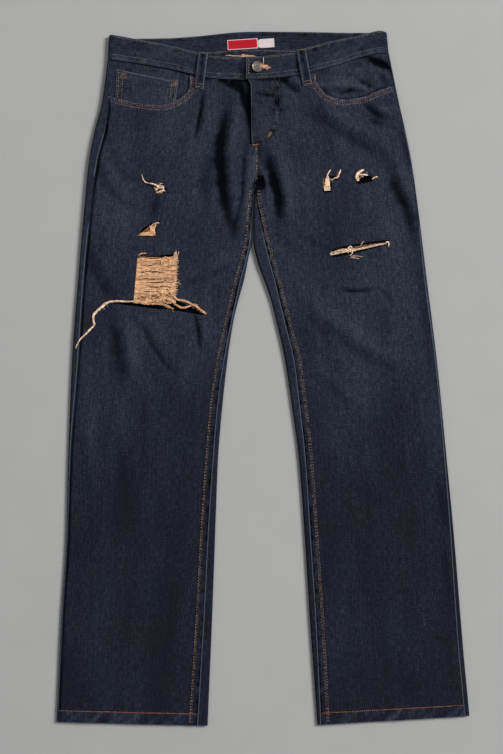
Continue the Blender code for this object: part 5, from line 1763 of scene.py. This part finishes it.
def trimStitches():
    tan, dim, grey, dull = [], [], [], []
    for which in ("front_right", "front_left"):
        side, x0, y0, x1, y1 = loops[which]
        length = math.dist((x0, y0), (x1, y1))
        for across in (-5.2, 5.2):
            v = np.linspace(0.05, 0.9, 30)
            px = x0 + (x1 - x0) * v - across * (y1 - y0) / length
            py = y0 + (y1 - y0) * v + across * (x1 - x0) / length
            z = loopHeight(side, px, py) + garment["gap"] + loops["cloth"] + loopArch(v) + 0.6
            grey.append(stitchRow(stacked(px, py, z), radius=0.45))
        for share, extra in ((0.035, -0.35), (0.88, 1.0), (0.955, 0.95)):
            px, py = x0 + (x1 - x0) * share, y0 + (y1 - y0) * share
            z = float(loopHeight(side, px, py)) + garment["gap"] + loops["cloth"] + extra
            (tan if share < 0.1 else dull).append(barTack((px, py, z), (y0 - y1, x1 - x0, 0), 12, 2.0))
    for x in loops["back"].values():
        top = float(bandTop["back"](x)) - 1
        for across in (-4.4, 4.4):
            line = [(x + across, top - drop, underside["stitchLine"]) for drop in (2, 48)]
            tan.append(stitchRow(evenRoute(line, 2), (0, 0, -1)))
        for drop in (1.6, 48.0):
            tan.append(barTack((x, top - drop, underside["tack"]), (1, 0, 0), 10.5, 2.2, (0, 0, -1)))
    corners = np.array(coin["corners"], float)
    for u0, u1, v0, v1 in (
        (0.035, 0.035, 0.05, 0.98), (0.1, 0.1, 0.05, 0.98), (0.9, 0.9, 0.05, 0.98), (0.965, 0.965, 0.05, 0.98),
        (0.05, 0.95, 0.07, 0.07),
    ):
        u, v = np.linspace(u0, u1, 20), np.linspace(v0, v1, 20)
        spots = (corners[0] * (1 - u)[:, None] + corners[1] * u[:, None]) * (1 - v)[:, None]
        spots = spots + (corners[3] * (1 - u)[:, None] + corners[2] * u[:, None]) * v[:, None]
        z = frontHeight("right", spots[:, 0], unsettle("right", "front", *spots.T)) - coin["depth"] + 0.35
        (dim if u0 != u1 else tan).append(stitchRow(np.column_stack((spots, z))))
    for x, y in coin["tacks"]:
        z = float(frontHeight("right", x, unsettle("right", "front", x, y))) - coin["depth"] + 0.5
        tan.append(barTack((x, y, z), (0, 1, 0), 8.5, 12, count=7))
    stitches("stitching_trims", dict(stitch=tan, dim=dim, grey=grey, dull=dull))


def buttonThreads():  # the frayed end of the buttonhole and the loose ends on the band's top edge
    strands, brown = [], []
    for index in range(46):
        x0, y0 = frayed.uniform(-4.5, 4), 466.3 + frayed.normal(0, 0.9)
        x1, y1 = x0 + frayed.uniform(3, 9), y0 + frayed.normal(0, 1.2)
        xs, ys = np.linspace(x0, x1, 6), np.linspace(y0, y1, 6)
        lift = 1.2 + 2.2 * ease(4, -4, xs) + 0.6 * np.sin(np.linspace(0, math.pi, 6)) * frayed.uniform(0.4, 1.5)
        base = bandAt("left", xs, ys - bandSeam["front"](xs))
        (brown if index % 3 == 0 else strands).append((stacked(xs, ys, base[:, 2] + lift), 0.36))
    up = bandAt("left", np.full(8, 0.5), np.linspace(18, 31, 8))
    up[:, 2] += 1.4 + np.sin(np.linspace(0, math.pi, 8)) * 0.8
    strands.append((up, 0.5))
    for x0, x1, y0, y1, count in ((-32, -9, 485.4, 482.4, 9), (-57, -11, 483.6, 483.4, 3)):
        for _ in range(count):
            xs = np.linspace(x0 + frayed.uniform(0, 5), x1 - frayed.uniform(0, 5), 14)
            ys = np.linspace(y0, y1, 14) + frayed.normal(0, 0.5) + 0.5 * lattice(xs, y0, (6, 5), 110)
            z = bandHeight("right", xs) + 0.7 + 0.3 * frayed.normal()
            strands.append((stacked(xs, ys, z), 0.42))
    yarns("buttonhole_threads_brown", brown, "weftDeep")
    yarns("buttonhole_threads", strands, "weft")


weftPatch()
longYarn()
pulledBundle()
kneeBundle()
for node in tufts:
    tuft(node)
brownThreads()
print("torn threads")
for side in inward:
    frontStitches(side)
    backStitches(side)
bandStitches()
trimStitches()
buttonThreads()
print("stitching")

floor = {"size": 6.0, "drop": -0.0001, "dark": (0.325, 0.322, 0.318), "light": (0.35, 0.347, 0.343)}
bm = bmesh.new()
bmesh.ops.create_grid(bm, x_segments=8, y_segments=8, size=floor["size"] / 2)
bmesh.ops.translate(bm, verts=bm.verts[:], vec=(0, 0, floor["drop"]))
floorDye = Dye("pale floor", 0.9)
floorGrain = floorDye.noise(floorDye.place(), (14.0, 14.0, 14.0), 3.0)
floorDye.feed("Base Color", floorDye.blend(floorGrain, floor["dark"], floor["light"]))
dyes["floor"] = floorDye.material
finishMesh("floor", meshOf(bm, "floor"), ("floor",))
made.pop("floor")

studio = {
    "key": ((5.0, 2.5, 5.0), 3.2, 740.0),
    "fill": ((-1.2, 0.6, 2.8), 2.4, 12.0),
    "ambient": 0.28,
}


def areaLight(name, place, size, power):
    data = bpy.data.lights.new(name, "AREA")
    data.shape = "DISK"
    data.size = size
    data.energy = power
    light = bpy.data.objects.new(name, data)
    light.location = place
    light.rotation_euler = (-Vector(place)).to_track_quat("-Z", "Y").to_euler()
    scene.collection.objects.link(light)


for name in ("key", "fill"):
    areaLight(name, *studio[name])
world = bpy.data.worlds.new("studio")
world.use_nodes = True
world.node_tree.nodes["Background"].inputs["Color"].default_value = (0.97, 0.985, 1.0, 1.0)
world.node_tree.nodes["Background"].inputs["Strength"].default_value = studio["ambient"]
scene.world = world
scene.view_settings.view_transform = "Standard"

view = {"centre": (-0.01725, 0.0026), "distance": 2.0, "tall": 1.134, "sensor": 36.0}
eye = bpy.data.cameras.new("overhead")
eye.sensor_width = view["sensor"]
eye.lens = view["sensor"] * view["distance"] / view["tall"]
camera = bpy.data.objects.new("overhead", eye)
camera.location = (*view["centre"], view["distance"])
scene.collection.objects.link(camera)
scene.camera = camera
print("floor, light and camera")


def cutArea(side, face):  # the flat area of a panel's cut, in square metres
    y = np.linspace(waist if face == "front" else garment["yoke"], hem, 400)
    if face == "front":
        inner = np.where(y >= crotch, middleEdge[side](y), inseam[side](y))
        width = np.abs(inner - sideSeam[side](y))
    else:
        inner = np.where(y >= crotch, garment["centreBack"], innerOutline[side](y))
        curl = np.abs(outline[side](y) - sideSeam[side](y))
        curl = curl + np.abs(innerOutline[side](y) - inseam[side](y)) * (y < crotch)
        width = np.abs(inner - outline[side](y)) + curl + garment["allowance"] * (1 + (y < crotch))
    return float(np.trapz(width, -y)) * mm * mm


sheets = (  # piece, flat width and length in metres, cut area, what it rests on, pieces on it
    ("denim_front_right", (0.245, 0.975), cutArea("right", "front"), "back_right", (
        "stitching_front_right", "weft_threads", "weft_underlayer", "long_yarn", "pulled_bundle",
        "tuft_high_right_threads", "tuft_low_right_threads",
    )),
    ("denim_front_left", (0.245, 0.975), cutArea("left", "front"), "back_left", (
        "stitching_front_left", "knee_bundle_threads", "tuft_bar_left_threads", "tuft_loop_left_threads",
    )),
    ("denim_back_right", (0.285, 0.955), cutArea("right", "back"), "floor", ("stitching_back_right",)),
    ("denim_back_left", (0.285, 0.955), cutArea("left", "back"), "floor", ("stitching_back_left",)),
    ("denim_yoke_right", (0.235, 0.075), None, "back_right", ()),
    ("denim_yoke_left", (0.235, 0.075), None, "back_left", ()),
    ("denim_waistband", (0.875, 0.035), None, "yoke_right", (
        "stitching_waistband", "buttonhole_threads", "buttonhole_threads_brown", "shank_button",
        "tape_waist_label", "tape_size_tab",
    )),
    ("denim_facing_right", (0.135, 0.085), None, "front_right", ()),
    ("denim_facing_left", (0.135, 0.08), None, "front_left", ()),
    ("denim_coin_pocket", (0.092, 0.046), None, "pocket_facing_right", ("stitching_trims",)),
    ("denim_back_pocket_right", (0.152, 0.164), None, "floor", ()),
    ("denim_back_pocket_left", (0.152, 0.164), None, "floor", ()),
    ("denim_loop_front_right", (0.014, 0.054), None, "waistband", ()),
    ("denim_loop_front_left", (0.014, 0.054), None, "waistband", ()),
    ("denim_loop_back_right", (0.014, 0.05), None, "floor", ()),
    ("denim_loop_back_middle", (0.014, 0.05), None, "floor", ()),
    ("denim_loop_back_left", (0.014, 0.05), None, "floor", ()),
)
